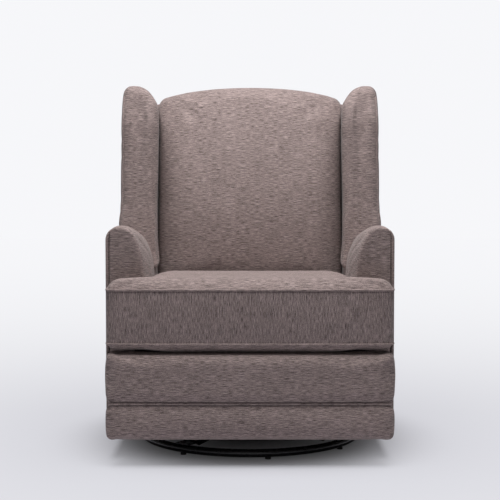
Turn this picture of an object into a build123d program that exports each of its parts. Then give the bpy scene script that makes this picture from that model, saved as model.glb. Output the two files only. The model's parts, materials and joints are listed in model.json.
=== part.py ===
"""Wing-back swivel glider recliner for a nursery, built as separate solids at rest: upright, footrest closed.

Millimetres, +Z up, the chair faces -Y and the swivel axis is the Z axis through the floor.
"""

import os
from math import cos, radians, sin

from build123d import *

# Overall sizes
HALF_WIDTH = 378.0
FRONT_Y = -412.0
FLOOR_CLEARANCE = 72.0
SEAT_FRONT_Z = 455.0
ARM_TOP_Z = 612.0

# Fits
PIN_GAP = 0.03
SOFT_GAP = 0.3
WELD_GAP = 0.2

# Ring base and swivel bearing
RING_RADIUS = 304.0
RING_TUBE = 11.0
GLIDE_HEIGHT = 5.0
GLIDE_COUNT = 8
BASE_TURN = 9.0
SPIDER_Z = 58.0
SPIDER_SHEET = 4.0
RACE_RADIUS = 72.0
RACE_SHEET = 4.0
RACE_SPACE = 4.4
BALL_TRACK = 54.0
BALL_RADIUS = 4.0
BALL_COUNT = 16
KING_PIN_RADIUS = 8.0

# Glider
HANGER_Y = 105.0
HANGER_Z = 232.0
GLIDE_LINK = 125.0
GLIDE_LINK_X = 158.0
GLIDE_LINK_SHEET = 5.0
GLIDE_PIN_RADIUS = 5.0
BRACKET_X = 150.0
BRACKET_SHEET = 4.0
RAIL_X = 168.0
RAIL_WIDTH = 20.0
RAIL_HEIGHT = 40.0
RAIL_SHEET = 3.0
CROSS_TUBE_Y = 188.0
CROSS_TUBE = 25.0

# Arms
ARM_FRONT_Y = -310.0
ARM_REAR_Y = 300.0
ARM_INNER_X = 270.0
ARM_SPLAY = 14.0
ARM_FALL = 24.0
ARM_FRAME_X = 300.0
ARM_FRAME_WIDTH = 18.0
SIDE_PANEL = 8.0

# Seat
DECK_Z = 284.0
RAIL_BOARD = 16.0
SPRING_WIRE = 2.0
SPRING_X = (-195.0, -65.0, 65.0, 195.0)
SPRING_LOOPS = 8
CUSHION_FRONT_Y = -405.0
CUSHION_BACK_Y = 84.0
EAR_X = 370.0
WELT_RADIUS = 3.5
WELT_LOW_Z = 315.0
CUSHION_KEEL_Z = 302.0

# Footrest linkage, as forward distance and height
PLATE_X = 296.0
PLATE_SHEET = 4.0
LAYER_PITCH = 7.0
LINK_SHEET = 4.0
LINK_RADIUS = 9.0
RIVET_RADIUS = 4.0
RIVET_HEAD = 6.5
RIVET_HEAD_SHEET = 1.6
FRONT_PIVOT = (266.0, 264.0)
REAR_PIVOT = (222.2, 272.0)
FRONT_LINK = 133.0
LONG_LINK = 157.0
CARRIER_STEP = 46.0
FRONT_LINK_ANGLE = -97.5
LONG_LINK_ANGLE = 60.5
TAIL = 30.0
TAIL_ANGLE = 131.5
REAR_LINK = 146.9
REAR_LINK_ANGLE = -91.95
OPEN_PIVOT_GAP = 2.4

# Footrest panel
BOARD_Y = -340.0
BOARD_SHEET = 12.0
FOOTREST_TOP_Z = 298.5
FOOTREST_SEAM_Z = 164.0
FOOTREST_HALF = 375.0

# Back
BACK_LEAN = 12.0
BACK_FOOT = (273.0, 345.0)
BACK_PIVOT = (228.0, 330.0)
BACK_PIN_RADIUS = 6.0
PANEL_SHEET = 8.0
FRAME_DEPTH = 42.0
POST_X = 232.0
POST_WIDTH = 28.0
HINGE_SHEET = 4.0
BACK_HALF = 273.0
BACK_LOW_HALF = 276.0
WING_OUTER = 377.0
WING_INNER = 275.0
WING_LOW_Z = 606.0
WING_TOP_Z = 1024.0
WING_FRONT_Y = 50.0
WING_BOARD_X = 332.0
WING_BOARD = 18.0

os.makedirs("parts", exist_ok=True)


def finish(part, label):
    """Name a finished sub-part and write it out."""
    part.label = label
    export_step(part, f"parts/{label}.step")


def outline(start, *steps):
    """Draw a closed outline. A step is an end point, or a middle point and an end point of an arc."""
    here = start
    for step in steps:
        if isinstance(step[0], tuple):
            ThreePointArc(here, step[0], step[1])
            here = step[1]
        else:
            Line(here, step)
            here = step
    if here != start:
        Line(here, start)


def polar(origin, length, angle):
    """Point at a length and an angle in degrees from another point."""
    return (origin[0] + length * cos(radians(angle)), origin[1] + length * sin(radians(angle)))


def side(point):
    """Turn forward distance and height into the Y and Z of a side view."""
    return (-point[0], point[1])


# Ring base

ring_z = GLIDE_HEIGHT + RING_TUBE
ring_top = ring_z + RING_TUBE

with BuildPart() as base_ring:
    with BuildSketch(Plane.XZ):
        with Locations((RING_RADIUS, ring_z)):
            Circle(RING_TUBE)
    revolve(axis=Axis.Z)
finish(base_ring.part, "base_ring")

with BuildPart() as floor_glides:
    with BuildSketch():
        with PolarLocations(RING_RADIUS, GLIDE_COUNT, start_angle=BASE_TURN):
            Circle(8)
    extrude(amount=ring_z - 4, taper=4)
    with BuildSketch(Plane.XZ):
        with Locations((RING_RADIUS, ring_z)):
            Circle(RING_TUBE + WELD_GAP)
    revolve(axis=Axis.Z, mode=Mode.SUBTRACT)
finish(floor_glides.part, "floor_glides")

arm_low = ring_top + WELD_GAP
with BuildPart() as cross_arms:
    with BuildSketch(Plane.XY.offset(SPIDER_Z)):
        Circle(RACE_RADIUS)
    extrude(amount=SPIDER_SHEET)
    for quarter in range(4):
        arm_plane = Plane.XZ.rotated((0, 0, BASE_TURN + 45 + 90 * quarter))
        with BuildSketch(arm_plane):
            with BuildLine():
                outline(
                    (RACE_RADIUS - 25, SPIDER_Z),
                    (RACE_RADIUS + 8, SPIDER_Z),
                    (RING_RADIUS - 24, arm_low),
                    (RING_RADIUS + 6, arm_low),
                    (RING_RADIUS + 6, arm_low + SPIDER_SHEET),
                    (RING_RADIUS - 23, arm_low + SPIDER_SHEET),
                    (RACE_RADIUS + 9, SPIDER_Z + SPIDER_SHEET),
                    (RACE_RADIUS - 25, SPIDER_Z + SPIDER_SHEET),
                )
            make_face()
        extrude(amount=22, both=True)
        with BuildSketch(arm_plane.offset(18)) as flange:
            with BuildLine():
                outline(
                    (RACE_RADIUS + 4, SPIDER_Z + 1),
                    (RACE_RADIUS + 8, SPIDER_Z - 11),
                    (RING_RADIUS - 40, arm_low - 7),
                    (RING_RADIUS - 26, arm_low + 2),
                )
            make_face()
        extrude(amount=4)
        extrude(flange.sketch, amount=-40)
        with BuildSketch(arm_plane):
            with BuildLine():
                outline(
                    (RACE_RADIUS - 6, SPIDER_Z),
                    (RACE_RADIUS + 8, SPIDER_Z),
                    (RING_RADIUS - 24, arm_low),
                    (RING_RADIUS - 24, arm_low - 30),
                    (RACE_RADIUS - 6, arm_low - 30),
                )
            make_face()
        extrude(amount=18, both=True, mode=Mode.SUBTRACT)
    with BuildSketch(Plane.XY.offset(SPIDER_Z)):
        Circle(KING_PIN_RADIUS + PIN_GAP)
    extrude(amount=SPIDER_SHEET, mode=Mode.SUBTRACT)
finish(cross_arms.part, "cross_arms")

race_z = SPIDER_Z + SPIDER_SHEET
upper_race_z = race_z + RACE_SHEET + RACE_SPACE
ball_z = race_z + RACE_SHEET + RACE_SPACE / 2
turntable_z = upper_race_z + RACE_SHEET

with BuildPart() as lower_race:
    with BuildSketch(Plane.XY.offset(race_z)):
        Circle(RACE_RADIUS)
        Circle(KING_PIN_RADIUS + PIN_GAP, mode=Mode.SUBTRACT)
    extrude(amount=RACE_SHEET)
    with BuildSketch(Plane.XZ):
        with Locations((BALL_TRACK, ball_z)):
            Circle(BALL_RADIUS + PIN_GAP)
    revolve(axis=Axis.Z, mode=Mode.SUBTRACT)
finish(lower_race.part, "lower_race")

with BuildPart() as upper_race:
    with BuildSketch(Plane.XY.offset(upper_race_z)):
        Circle(RACE_RADIUS)
        Circle(KING_PIN_RADIUS + PIN_GAP, mode=Mode.SUBTRACT)
    extrude(amount=RACE_SHEET)
    with BuildSketch(Plane.XZ):
        with Locations((BALL_TRACK, ball_z)):
            Circle(BALL_RADIUS + PIN_GAP)
    revolve(axis=Axis.Z, mode=Mode.SUBTRACT)
finish(upper_race.part, "upper_race")

with BuildPart() as bearing_balls:
    with Locations((0, 0, ball_z)):
        with PolarLocations(BALL_TRACK, BALL_COUNT):
            Sphere(BALL_RADIUS)
finish(bearing_balls.part, "bearing_balls")

with BuildPart() as ball_cage:
    with BuildSketch(Plane.XY.offset(ball_z - 0.6)):
        Circle(BALL_TRACK + 8)
        Circle(BALL_TRACK - 8, mode=Mode.SUBTRACT)
        with PolarLocations(BALL_TRACK, BALL_COUNT):
            Circle(BALL_RADIUS + 0.1, mode=Mode.SUBTRACT)
    extrude(amount=1.2)
finish(ball_cage.part, "ball_cage")

with BuildPart() as king_pin:
    with BuildSketch(Plane.XY.offset(SPIDER_Z - 8)):
        RegularPolygon(14, 6)
    extrude(amount=8)
    with BuildSketch(Plane.XY.offset(SPIDER_Z)):
        Circle(KING_PIN_RADIUS)
    extrude(amount=turntable_z - SPIDER_Z + 16)
finish(king_pin.part, "king_pin")

# Turntable and glider

with BuildPart() as king_pin_nut:
    with BuildSketch(Plane.XY.offset(turntable_z + WELD_GAP)):
        Circle(16)
    extrude(amount=2)
    with BuildSketch(Plane.XY.offset(turntable_z + WELD_GAP + 2)):
        RegularPolygon(14, 6)
    extrude(amount=10)
    with BuildSketch(Plane.XY.offset(turntable_z)):
        Circle(KING_PIN_RADIUS + PIN_GAP)
    extrude(amount=14, mode=Mode.SUBTRACT)
finish(king_pin_nut.part, "king_pin_nut")

bar_height = 16.0
bracket_z = turntable_z + bar_height
bracket_half = 118.0
with BuildPart() as platform_bars:
    for bar_y in (-42, 42):
        with BuildSketch(Plane.YZ.offset(-BRACKET_X - BRACKET_SHEET)):
            with Locations((bar_y, turntable_z + bar_height / 2)):
                Rectangle(30, bar_height)
                Rectangle(25, bar_height - 5, mode=Mode.SUBTRACT)
        extrude(amount=2 * (BRACKET_X + BRACKET_SHEET))
finish(platform_bars.part, "platform_bars")

with BuildPart() as glider_bracket_right:
    with BuildSketch(Plane.YZ.offset(BRACKET_X)):
        with BuildLine():
            outline(
                (-bracket_half, bracket_z),
                (bracket_half, bracket_z),
                (HANGER_Y + 13, HANGER_Z),
                ((HANGER_Y, HANGER_Z + 13), (HANGER_Y - 13, HANGER_Z)),
                (HANGER_Y - 34, bracket_z + 62),
                ((0, bracket_z + 44), (34 - HANGER_Y, bracket_z + 62)),
                (13 - HANGER_Y, HANGER_Z),
                ((-HANGER_Y, HANGER_Z + 13), (-HANGER_Y - 13, HANGER_Z)),
            )
        make_face()
        with Locations((-HANGER_Y, HANGER_Z), (HANGER_Y, HANGER_Z)):
            Circle(GLIDE_PIN_RADIUS + PIN_GAP, mode=Mode.SUBTRACT)
        with Locations((0, bracket_z + 24)):
            SlotOverall(120, 22, mode=Mode.SUBTRACT)
    extrude(amount=BRACKET_SHEET)
    with BuildSketch(Plane.XY.offset(bracket_z)):
        with Locations((BRACKET_X - 12, 0)):
            Rectangle(26, 2 * bracket_half)
    extrude(amount=BRACKET_SHEET)
finish(glider_bracket_right.part, "glider_bracket_right")

with BuildPart() as glider_bracket_left:
    add(mirror(glider_bracket_right.part, about=Plane.YZ))
finish(glider_bracket_left.part, "glider_bracket_left")

pin_head = 8.0
link_outer = GLIDE_LINK_X + GLIDE_LINK_SHEET
with BuildPart() as hanger_pins:
    for hand in (-1, 1):
        with BuildSketch(Plane.YZ.offset(hand * (BRACKET_X - 4))):
            with Locations((-HANGER_Y, HANGER_Z), (HANGER_Y, HANGER_Z)):
                Circle(pin_head)
        extrude(amount=hand * 3.8)
        with BuildSketch(Plane.YZ.offset(hand * (BRACKET_X - 0.2))):
            with Locations((-HANGER_Y, HANGER_Z), (HANGER_Y, HANGER_Z)):
                Circle(GLIDE_PIN_RADIUS)
        extrude(amount=hand * (link_outer - BRACKET_X + 0.4))
        with BuildSketch(Plane.YZ.offset(hand * (link_outer + 0.2))):
            with Locations((-HANGER_Y, HANGER_Z), (HANGER_Y, HANGER_Z)):
                Circle(pin_head)
        extrude(amount=hand * 3)
finish(hanger_pins.part, "hanger_pins")

carriage_z = HANGER_Z - GLIDE_LINK
link_names = {"front_glide_links": -HANGER_Y, "rear_glide_links": HANGER_Y}
for link_name, link_y in link_names.items():
    with BuildPart() as glide_links:
        for hand in (-1, 1):
            with BuildSketch(Plane.YZ.offset(hand * GLIDE_LINK_X)):
                with Locations((link_y, HANGER_Z), (link_y, carriage_z)):
                    Circle(13)
                make_hull()
                with Locations((link_y, HANGER_Z), (link_y, carriage_z)):
                    Circle(GLIDE_PIN_RADIUS + PIN_GAP, mode=Mode.SUBTRACT)
            extrude(amount=hand * GLIDE_LINK_SHEET)
    finish(glide_links.part, link_name)

with BuildPart() as glide_stops:
    for hand in (-1, 1):
        with BuildSketch(Plane.XY.offset(bracket_z + BRACKET_SHEET)):
            with Locations((hand * (BRACKET_X - 14), -80), (hand * (BRACKET_X - 14), 80)):
                Circle(9)
        extrude(amount=14, taper=12)
finish(glide_stops.part, "glide_stops")

# Carriage under the seat

rail_low = carriage_z - RAIL_HEIGHT / 2
rail_top = carriage_z + RAIL_HEIGHT / 2
with BuildPart() as carriage_rail_right:
    with BuildSketch(Plane.XZ.offset(CROSS_TUBE_Y + 16)):
        with Locations((RAIL_X + RAIL_WIDTH / 2, carriage_z)):
            Rectangle(RAIL_WIDTH, RAIL_HEIGHT)
        with Locations((RAIL_X + RAIL_WIDTH / 2 + RAIL_SHEET, carriage_z)):
            Rectangle(RAIL_WIDTH, RAIL_HEIGHT - 2 * RAIL_SHEET, mode=Mode.SUBTRACT)
    extrude(amount=-2 * (CROSS_TUBE_Y + 16))
    with BuildSketch(Plane.YZ.offset(RAIL_X)):
        with Locations((-HANGER_Y, carriage_z), (HANGER_Y, carriage_z)):
            Circle(GLIDE_PIN_RADIUS + PIN_GAP)
    extrude(amount=RAIL_SHEET, mode=Mode.SUBTRACT)
finish(carriage_rail_right.part, "carriage_rail_right")

with BuildPart() as carriage_rail_left:
    add(mirror(carriage_rail_right.part, about=Plane.YZ))
finish(carriage_rail_left.part, "carriage_rail_left")

with BuildPart() as carriage_pins:
    for hand in (-1, 1):
        with BuildSketch(Plane.YZ.offset(hand * (GLIDE_LINK_X - 3.2))):
            with Locations((-HANGER_Y, carriage_z), (HANGER_Y, carriage_z)):
                Circle(pin_head)
        extrude(amount=hand * 3)
        with BuildSketch(Plane.YZ.offset(hand * (GLIDE_LINK_X - 0.2))):
            with Locations((-HANGER_Y, carriage_z), (HANGER_Y, carriage_z)):
                Circle(GLIDE_PIN_RADIUS)
        extrude(amount=hand * (RAIL_X + RAIL_SHEET - GLIDE_LINK_X + 0.4))
        with BuildSketch(Plane.YZ.offset(hand * (RAIL_X + RAIL_SHEET + 0.2))):
            with Locations((-HANGER_Y, carriage_z), (HANGER_Y, carriage_z)):
                Circle(pin_head)
        extrude(amount=hand * 3)
finish(carriage_pins.part, "carriage_pins")

tube_z = rail_top + CROSS_TUBE / 2
for tube_name, tube_y in {"front_cross_tube": -CROSS_TUBE_Y, "rear_cross_tube": CROSS_TUBE_Y}.items():
    with BuildPart() as cross_tube:
        with BuildSketch(Plane.YZ.offset(-PLATE_X)):
            with Locations((tube_y, tube_z)):
                RectangleRounded(CROSS_TUBE, CROSS_TUBE, 3)
                RectangleRounded(CROSS_TUBE - 4, CROSS_TUBE - 4, 1.5, mode=Mode.SUBTRACT)
        extrude(amount=2 * PLATE_X)
    finish(cross_tube.part, tube_name)

# Footrest linkage, drawn closed

crossing = polar(FRONT_PIVOT, FRONT_LINK, FRONT_LINK_ANGLE)
front_end = polar(FRONT_PIVOT, FRONT_LINK + CARRIER_STEP, FRONT_LINK_ANGLE)
long_end = polar(crossing, LONG_LINK, LONG_LINK_ANGLE)
carrier_pin = polar(long_end, CARRIER_STEP, FRONT_LINK_ANGLE)
tail_pin = polar(crossing, TAIL, LONG_LINK_ANGLE + TAIL_ANGLE)
rear_end = polar(REAR_PIVOT, REAR_LINK, REAR_LINK_ANGLE)
rivet_hole = RIVET_RADIUS + PIN_GAP
layers = [PLATE_X - LAYER_PITCH * (step + 1) for step in range(4)]

plate_points = [
    (-FRONT_PIVOT[0] - 14, DECK_Z - 1),
    (-FRONT_PIVOT[0] - 14, FRONT_PIVOT[1] - 20),
    (-CROSS_TUBE_Y - 20, rail_top - 6),
    (CROSS_TUBE_Y + 20, rail_top - 6),
    (BACK_PIVOT[0] + 20, BACK_PIVOT[1] - 30),
    (BACK_PIVOT[0] + 20, BACK_PIVOT[1]),
]
with BuildPart() as side_plate_right:
    with BuildSketch(Plane.YZ.offset(PLATE_X)):
        with BuildLine():
            outline(
                *plate_points,
                ((BACK_PIVOT[0], BACK_PIVOT[1] + 20), (BACK_PIVOT[0] - 20, BACK_PIVOT[1])),
                (BACK_PIVOT[0] - 48, DECK_Z - 1),
            )
        make_face()
        with Locations(side(FRONT_PIVOT), side(REAR_PIVOT)):
            Circle(rivet_hole, mode=Mode.SUBTRACT)
        with Locations(BACK_PIVOT):
            Circle(BACK_PIN_RADIUS + PIN_GAP, mode=Mode.SUBTRACT)
        with Locations((0, 215)):
            SlotOverall(260, 60, mode=Mode.SUBTRACT)
    extrude(amount=PLATE_SHEET)
finish(side_plate_right.part, "side_plate_right")

with BuildPart() as side_plate_left:
    add(mirror(side_plate_right.part, about=Plane.YZ))
finish(side_plate_left.part, "side_plate_left")


def rivets(points, outer, inner, flush=False):
    """Rivets on both sides of the chair through the sheets between two distances from the middle.

    Both ends have a head, and a flush rivet has none on the outside.
    """
    for hand in (-1, 1):
        spans = [
            (inner - WELD_GAP, outer - inner + WELD_GAP, RIVET_RADIUS),
            (inner - WELD_GAP - RIVET_HEAD_SHEET, RIVET_HEAD_SHEET, RIVET_HEAD),
        ]
        if not flush:
            spans.append((outer, WELD_GAP, RIVET_RADIUS))
            spans.append((outer + WELD_GAP, RIVET_HEAD_SHEET, RIVET_HEAD))
        for start, length, radius in spans:
            for point in points:
                turned = Plane(origin=(hand * start, -point[0], point[1]), z_dir=(hand, 0, 0))
                with Locations(turned):
                    Cylinder(radius, length, align=(Align.CENTER, Align.CENTER, Align.MIN))


def links(layer, bosses, holes):
    """Flat links on both sides of the chair, hulled round their bosses, with a radius for each hole."""
    for hand in (-1, 1):
        with BuildSketch(Plane.YZ.offset(hand * layer)) as blank:
            with Locations(*[side(point) for point in bosses]):
                Circle(LINK_RADIUS)
            make_hull()
            for point, radius in holes:
                with Locations(side(point)):
                    Circle(radius, mode=Mode.SUBTRACT)
        extrude(blank.sketch, amount=LINK_SHEET, dir=(hand, 0, 0))


with BuildPart() as linkage_pivots:
    rivets([FRONT_PIVOT], PLATE_X + PLATE_SHEET, layers[0], flush=True)
    rivets([REAR_PIVOT], PLATE_X + PLATE_SHEET, layers[2], flush=True)
finish(linkage_pivots.part, "linkage_pivots")

with BuildPart() as front_links:
    links(
        layers[0],
        [FRONT_PIVOT, front_end],
        [(FRONT_PIVOT, rivet_hole), (crossing, rivet_hole), (front_end, rivet_hole)],
    )
finish(front_links.part, "front_links")

with BuildPart() as front_link_rivets:
    rivets([crossing], layers[0] + LINK_SHEET, layers[1])
    rivets([front_end], layers[0] + LINK_SHEET, layers[3])
finish(front_link_rivets.part, "front_link_rivets")

with BuildPart() as long_links:
    links(
        layers[1],
        [tail_pin, crossing, long_end],
        [(tail_pin, rivet_hole), (crossing, rivet_hole), (long_end, rivet_hole)],
    )
finish(long_links.part, "long_links")

with BuildPart() as long_link_rivets:
    rivets([tail_pin, long_end], layers[1] + LINK_SHEET, layers[2])
finish(long_link_rivets.part, "long_link_rivets")

with BuildPart() as rear_control_links:
    links(
        layers[2],
        [REAR_PIVOT, rear_end],
        [(REAR_PIVOT, rivet_hole), (rear_end, RIVET_RADIUS + OPEN_PIVOT_GAP)],
    )
finish(rear_control_links.part, "rear_control_links")

with BuildPart() as carrier_links:
    links(layers[3], [front_end, carrier_pin], [(front_end, rivet_hole), (carrier_pin, rivet_hole)])
finish(carrier_links.part, "carrier_links")

# Footrest panel

bracket_low = FOOTREST_SEAM_Z - 10
with BuildPart() as footrest_brackets:
    for hand in (-1, 1):
        with BuildSketch(Plane.YZ.offset(hand * layers[2])):
            with Locations(side(long_end), side(carrier_pin)):
                Circle(LINK_RADIUS)
            with Locations((BOARD_Y + 6, bracket_low), (BOARD_Y + 6, long_end[1])):
                Rectangle(12, 12)
            make_hull()
            with Locations(side(long_end), side(carrier_pin)):
                Circle(rivet_hole, mode=Mode.SUBTRACT)
        extrude(amount=hand * LINK_SHEET)
        with BuildSketch(Plane.XZ.offset(-BOARD_Y - LINK_SHEET)):
            with Locations((hand * (layers[2] + LINK_SHEET / 2 + 14), (bracket_low + long_end[1]) / 2)):
                Rectangle(32, long_end[1] - bracket_low + 12)
            bracket_x = hand * (layers[2] + 20)
            with Locations((bracket_x, bracket_low + 20), (bracket_x, long_end[1] - 20)):
                Circle(3.2, mode=Mode.SUBTRACT)
        extrude(amount=LINK_SHEET)
finish(footrest_brackets.part, "footrest_brackets")

with BuildPart() as footrest_rivets:
    rivets([carrier_pin], layers[2] + LINK_SHEET, layers[3])
finish(footrest_rivets.part, "footrest_rivets")

board_low = FLOOR_CLEARANCE + 12
board_top = 286.0
with BuildPart() as footrest_board:
    with BuildSketch(Plane.XZ.offset(-BOARD_Y)):
        with Locations((0, (board_low + board_top) / 2)):
            RectangleRounded(2 * (FOOTREST_HALF - 16), board_top - board_low, 12)
    extrude(amount=BOARD_SHEET)
finish(footrest_board.part, "footrest_board")

pad_back = BOARD_Y - BOARD_SHEET
low_mid = (FLOOR_CLEARANCE + FOOTREST_SEAM_Z) / 2
high_mid = (FOOTREST_SEAM_Z + FOOTREST_TOP_Z) / 2
seam_y = FRONT_Y + 10
with BuildPart() as footrest_pad:
    with BuildSketch(Plane.YZ.offset(-FOOTREST_HALF - 5)):
        with BuildLine():
            outline(
                (pad_back, FLOOR_CLEARANCE + 6),
                ((pad_back - 20, FLOOR_CLEARANCE + 1), (FRONT_Y + 22, FLOOR_CLEARANCE + 5)),
                ((FRONT_Y + 6, FLOOR_CLEARANCE + 13), (FRONT_Y + 1, FLOOR_CLEARANCE + 30)),
                ((FRONT_Y, low_mid + 6), (FRONT_Y + 3, FOOTREST_SEAM_Z - 14)),
                (seam_y, FOOTREST_SEAM_Z),
                (FRONT_Y + 3, FOOTREST_SEAM_Z + 14),
                ((FRONT_Y, high_mid), (FRONT_Y + 3, FOOTREST_TOP_Z - 30)),
                ((FRONT_Y + 8, FOOTREST_TOP_Z - 9), (FRONT_Y + 26, FOOTREST_TOP_Z)),
                ((FRONT_Y + 44, FOOTREST_TOP_Z - 3), (pad_back, FOOTREST_TOP_Z - 11)),
            )
        make_face()
    extrude(amount=2 * (FOOTREST_HALF + 5))
    with BuildSketch(Plane.XZ.offset(-FRONT_Y)):
        with BuildLine():
            outline(
                (16 - FOOTREST_HALF, FLOOR_CLEARANCE),
                (FOOTREST_HALF - 16, FLOOR_CLEARANCE),
                ((FOOTREST_HALF - 4, FLOOR_CLEARANCE + 8), (FOOTREST_HALF - 1, FLOOR_CLEARANCE + 24)),
                ((FOOTREST_HALF, low_mid + 6), (FOOTREST_HALF - 6, FOOTREST_SEAM_Z)),
                ((FOOTREST_HALF, high_mid), (FOOTREST_HALF - 4, FOOTREST_TOP_Z - 22)),
                ((FOOTREST_HALF - 9, FOOTREST_TOP_Z - 7), (FOOTREST_HALF - 24, FOOTREST_TOP_Z)),
                (24 - FOOTREST_HALF, FOOTREST_TOP_Z),
                ((9 - FOOTREST_HALF, FOOTREST_TOP_Z - 7), (4 - FOOTREST_HALF, FOOTREST_TOP_Z - 22)),
                ((-FOOTREST_HALF, high_mid), (6 - FOOTREST_HALF, FOOTREST_SEAM_Z)),
                ((-FOOTREST_HALF, low_mid + 6), (1 - FOOTREST_HALF, FLOOR_CLEARANCE + 24)),
                ((4 - FOOTREST_HALF, FLOOR_CLEARANCE + 8), (16 - FOOTREST_HALF, FLOOR_CLEARANCE)),
            )
        make_face()
    extrude(amount=-100, mode=Mode.INTERSECT)
    with BuildSketch():
        with BuildLine():
            outline(
                (8 - FOOTREST_HALF, pad_back),
                ((-FOOTREST_HALF, pad_back - 26), (12 - FOOTREST_HALF, FRONT_Y + 12)),
                ((30 - FOOTREST_HALF, FRONT_Y + 2), (60 - FOOTREST_HALF, FRONT_Y)),
                (FOOTREST_HALF - 60, FRONT_Y),
                ((FOOTREST_HALF - 30, FRONT_Y + 2), (FOOTREST_HALF - 12, FRONT_Y + 12)),
                ((FOOTREST_HALF, pad_back - 26), (FOOTREST_HALF - 8, pad_back)),
            )
        make_face()
    extrude(amount=FOOTREST_TOP_Z + 10, mode=Mode.INTERSECT)
finish(footrest_pad.part, "footrest_pad")

# Arms

frame_low = FLOOR_CLEARANCE + 6
frame_front = ARM_FRONT_Y + 20
frame_rear = ARM_REAR_Y - 20
frame_top = ARM_TOP_Z - ARM_FALL - 36
frame_mid = (ARM_FRAME_X + ARM_FRAME_WIDTH / 2)
with BuildPart() as arm_frame_right:
    with BuildSketch(Plane.YZ.offset(ARM_FRAME_X)):
        with BuildLine():
            outline(
                (frame_front, frame_low),
                (frame_rear, frame_low),
                (frame_rear, frame_top),
                (frame_front, frame_top),
            )
        make_face()
    extrude(amount=ARM_FRAME_WIDTH)
finish(arm_frame_right.part, "arm_frame_right")

with BuildPart() as arm_frame_left:
    add(mirror(arm_frame_right.part, about=Plane.YZ))
finish(arm_frame_left.part, "arm_frame_left")

pad_outer = HALF_WIDTH - SIDE_PANEL - SOFT_GAP
with BuildPart() as arm_pad_right:
    for section_y, splay, fall in ((ARM_FRONT_Y, 0, 0), (ARM_REAR_Y, ARM_SPLAY, ARM_FALL)):
        inner = ARM_INNER_X + splay
        top = ARM_TOP_Z - fall
        with BuildSketch(Plane.XZ.offset(-section_y)):
            with BuildLine():
                outline(
                    (inner, FLOOR_CLEARANCE),
                    (pad_outer, FLOOR_CLEARANCE),
                    (pad_outer, top - 20),
                    ((pad_outer - 10, top - 4), (pad_outer - 34, top)),
                    ((inner + 36, top - 16), (inner + 6, top - 72)),
                    (inner, top - 130),
                )
            make_face()
    loft()
    with BuildSketch(Plane.YZ.offset(ARM_INNER_X - 5)):
        with BuildLine():
            outline(
                (ARM_FRONT_Y, FLOOR_CLEARANCE),
                (ARM_REAR_Y, FLOOR_CLEARANCE),
                (ARM_REAR_Y, ARM_TOP_Z - ARM_FALL - 26),
                ((ARM_REAR_Y - 8, ARM_TOP_Z - ARM_FALL - 7), (ARM_REAR_Y - 28, ARM_TOP_Z - ARM_FALL + 2)),
                (ARM_FRONT_Y + 22, ARM_TOP_Z),
                ((ARM_FRONT_Y + 6, ARM_TOP_Z - 5), (ARM_FRONT_Y, ARM_TOP_Z - 20)),
            )
        make_face()
    extrude(amount=HALF_WIDTH, mode=Mode.INTERSECT)
    with BuildSketch():
        with BuildLine():
            outline(
                (ARM_INNER_X + 18, ARM_FRONT_Y),
                (pad_outer, ARM_FRONT_Y),
                (pad_outer, ARM_REAR_Y),
                (ARM_INNER_X - 2, ARM_REAR_Y),
                (ARM_INNER_X - 2, ARM_FRONT_Y + 18),
                ((ARM_INNER_X + 4, ARM_FRONT_Y + 5), (ARM_INNER_X + 18, ARM_FRONT_Y)),
            )
        make_face()
    extrude(amount=2 * ARM_TOP_Z, mode=Mode.INTERSECT)
    with Locations((frame_mid, (frame_front + frame_rear) / 2, FLOOR_CLEARANCE - 1)):
        Box(
            ARM_FRAME_WIDTH + 2 * SOFT_GAP,
            frame_rear - frame_front + 2 * SOFT_GAP,
            frame_top - FLOOR_CLEARANCE + 1 + SOFT_GAP,
            align=(Align.CENTER, Align.CENTER, Align.MIN),
            mode=Mode.SUBTRACT,
        )
    with Locations((ARM_FRAME_X, ARM_FRONT_Y - 1, FLOOR_CLEARANCE - 1)):
        Box(
            100,
            ARM_REAR_Y - ARM_FRONT_Y + 2,
            DECK_Z + RAIL_BOARD - FLOOR_CLEARANCE + 2,
            align=(Align.MAX, Align.MIN, Align.MIN),
            mode=Mode.SUBTRACT,
        )
    with Locations((ARM_FRAME_X, BACK_PIVOT[0] - 90, DECK_Z)):
        Box(100, 200, 110, align=(Align.MAX, Align.MIN, Align.MIN), mode=Mode.SUBTRACT)
finish(arm_pad_right.part, "arm_pad_right")

with BuildPart() as arm_pad_left:
    add(mirror(arm_pad_right.part, about=Plane.YZ))
finish(arm_pad_left.part, "arm_pad_left")

with BuildPart() as side_panel_right:
    with BuildSketch(Plane.YZ.offset(HALF_WIDTH - SIDE_PANEL)):
        with BuildLine():
            outline(
                (ARM_FRONT_Y, FLOOR_CLEARANCE),
                (ARM_REAR_Y, FLOOR_CLEARANCE),
                (ARM_REAR_Y, ARM_TOP_Z - ARM_FALL - 20),
                (ARM_FRONT_Y, ARM_TOP_Z - 20),
            )
        make_face()
    extrude(amount=SIDE_PANEL)
    fillet(side_panel_right.faces().sort_by(Axis.X)[-1].edges(), radius=5)
finish(side_panel_right.part, "side_panel_right")

with BuildPart() as side_panel_left:
    add(mirror(side_panel_right.part, about=Plane.YZ))
finish(side_panel_left.part, "side_panel_left")

# Seat

rail_front_y = BOARD_Y + 6
spring_rear_y = 128.0
for board_name, board_y in {"front_seat_rail": rail_front_y, "rear_seat_rail": spring_rear_y}.items():
    with BuildPart() as seat_rail:
        with BuildSketch(Plane.XY.offset(DECK_Z)):
            with Locations((0, board_y + 24)):
                Rectangle(2 * ARM_FRAME_X, 48)
        extrude(amount=RAIL_BOARD)
    finish(seat_rail.part, board_name)

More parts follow.
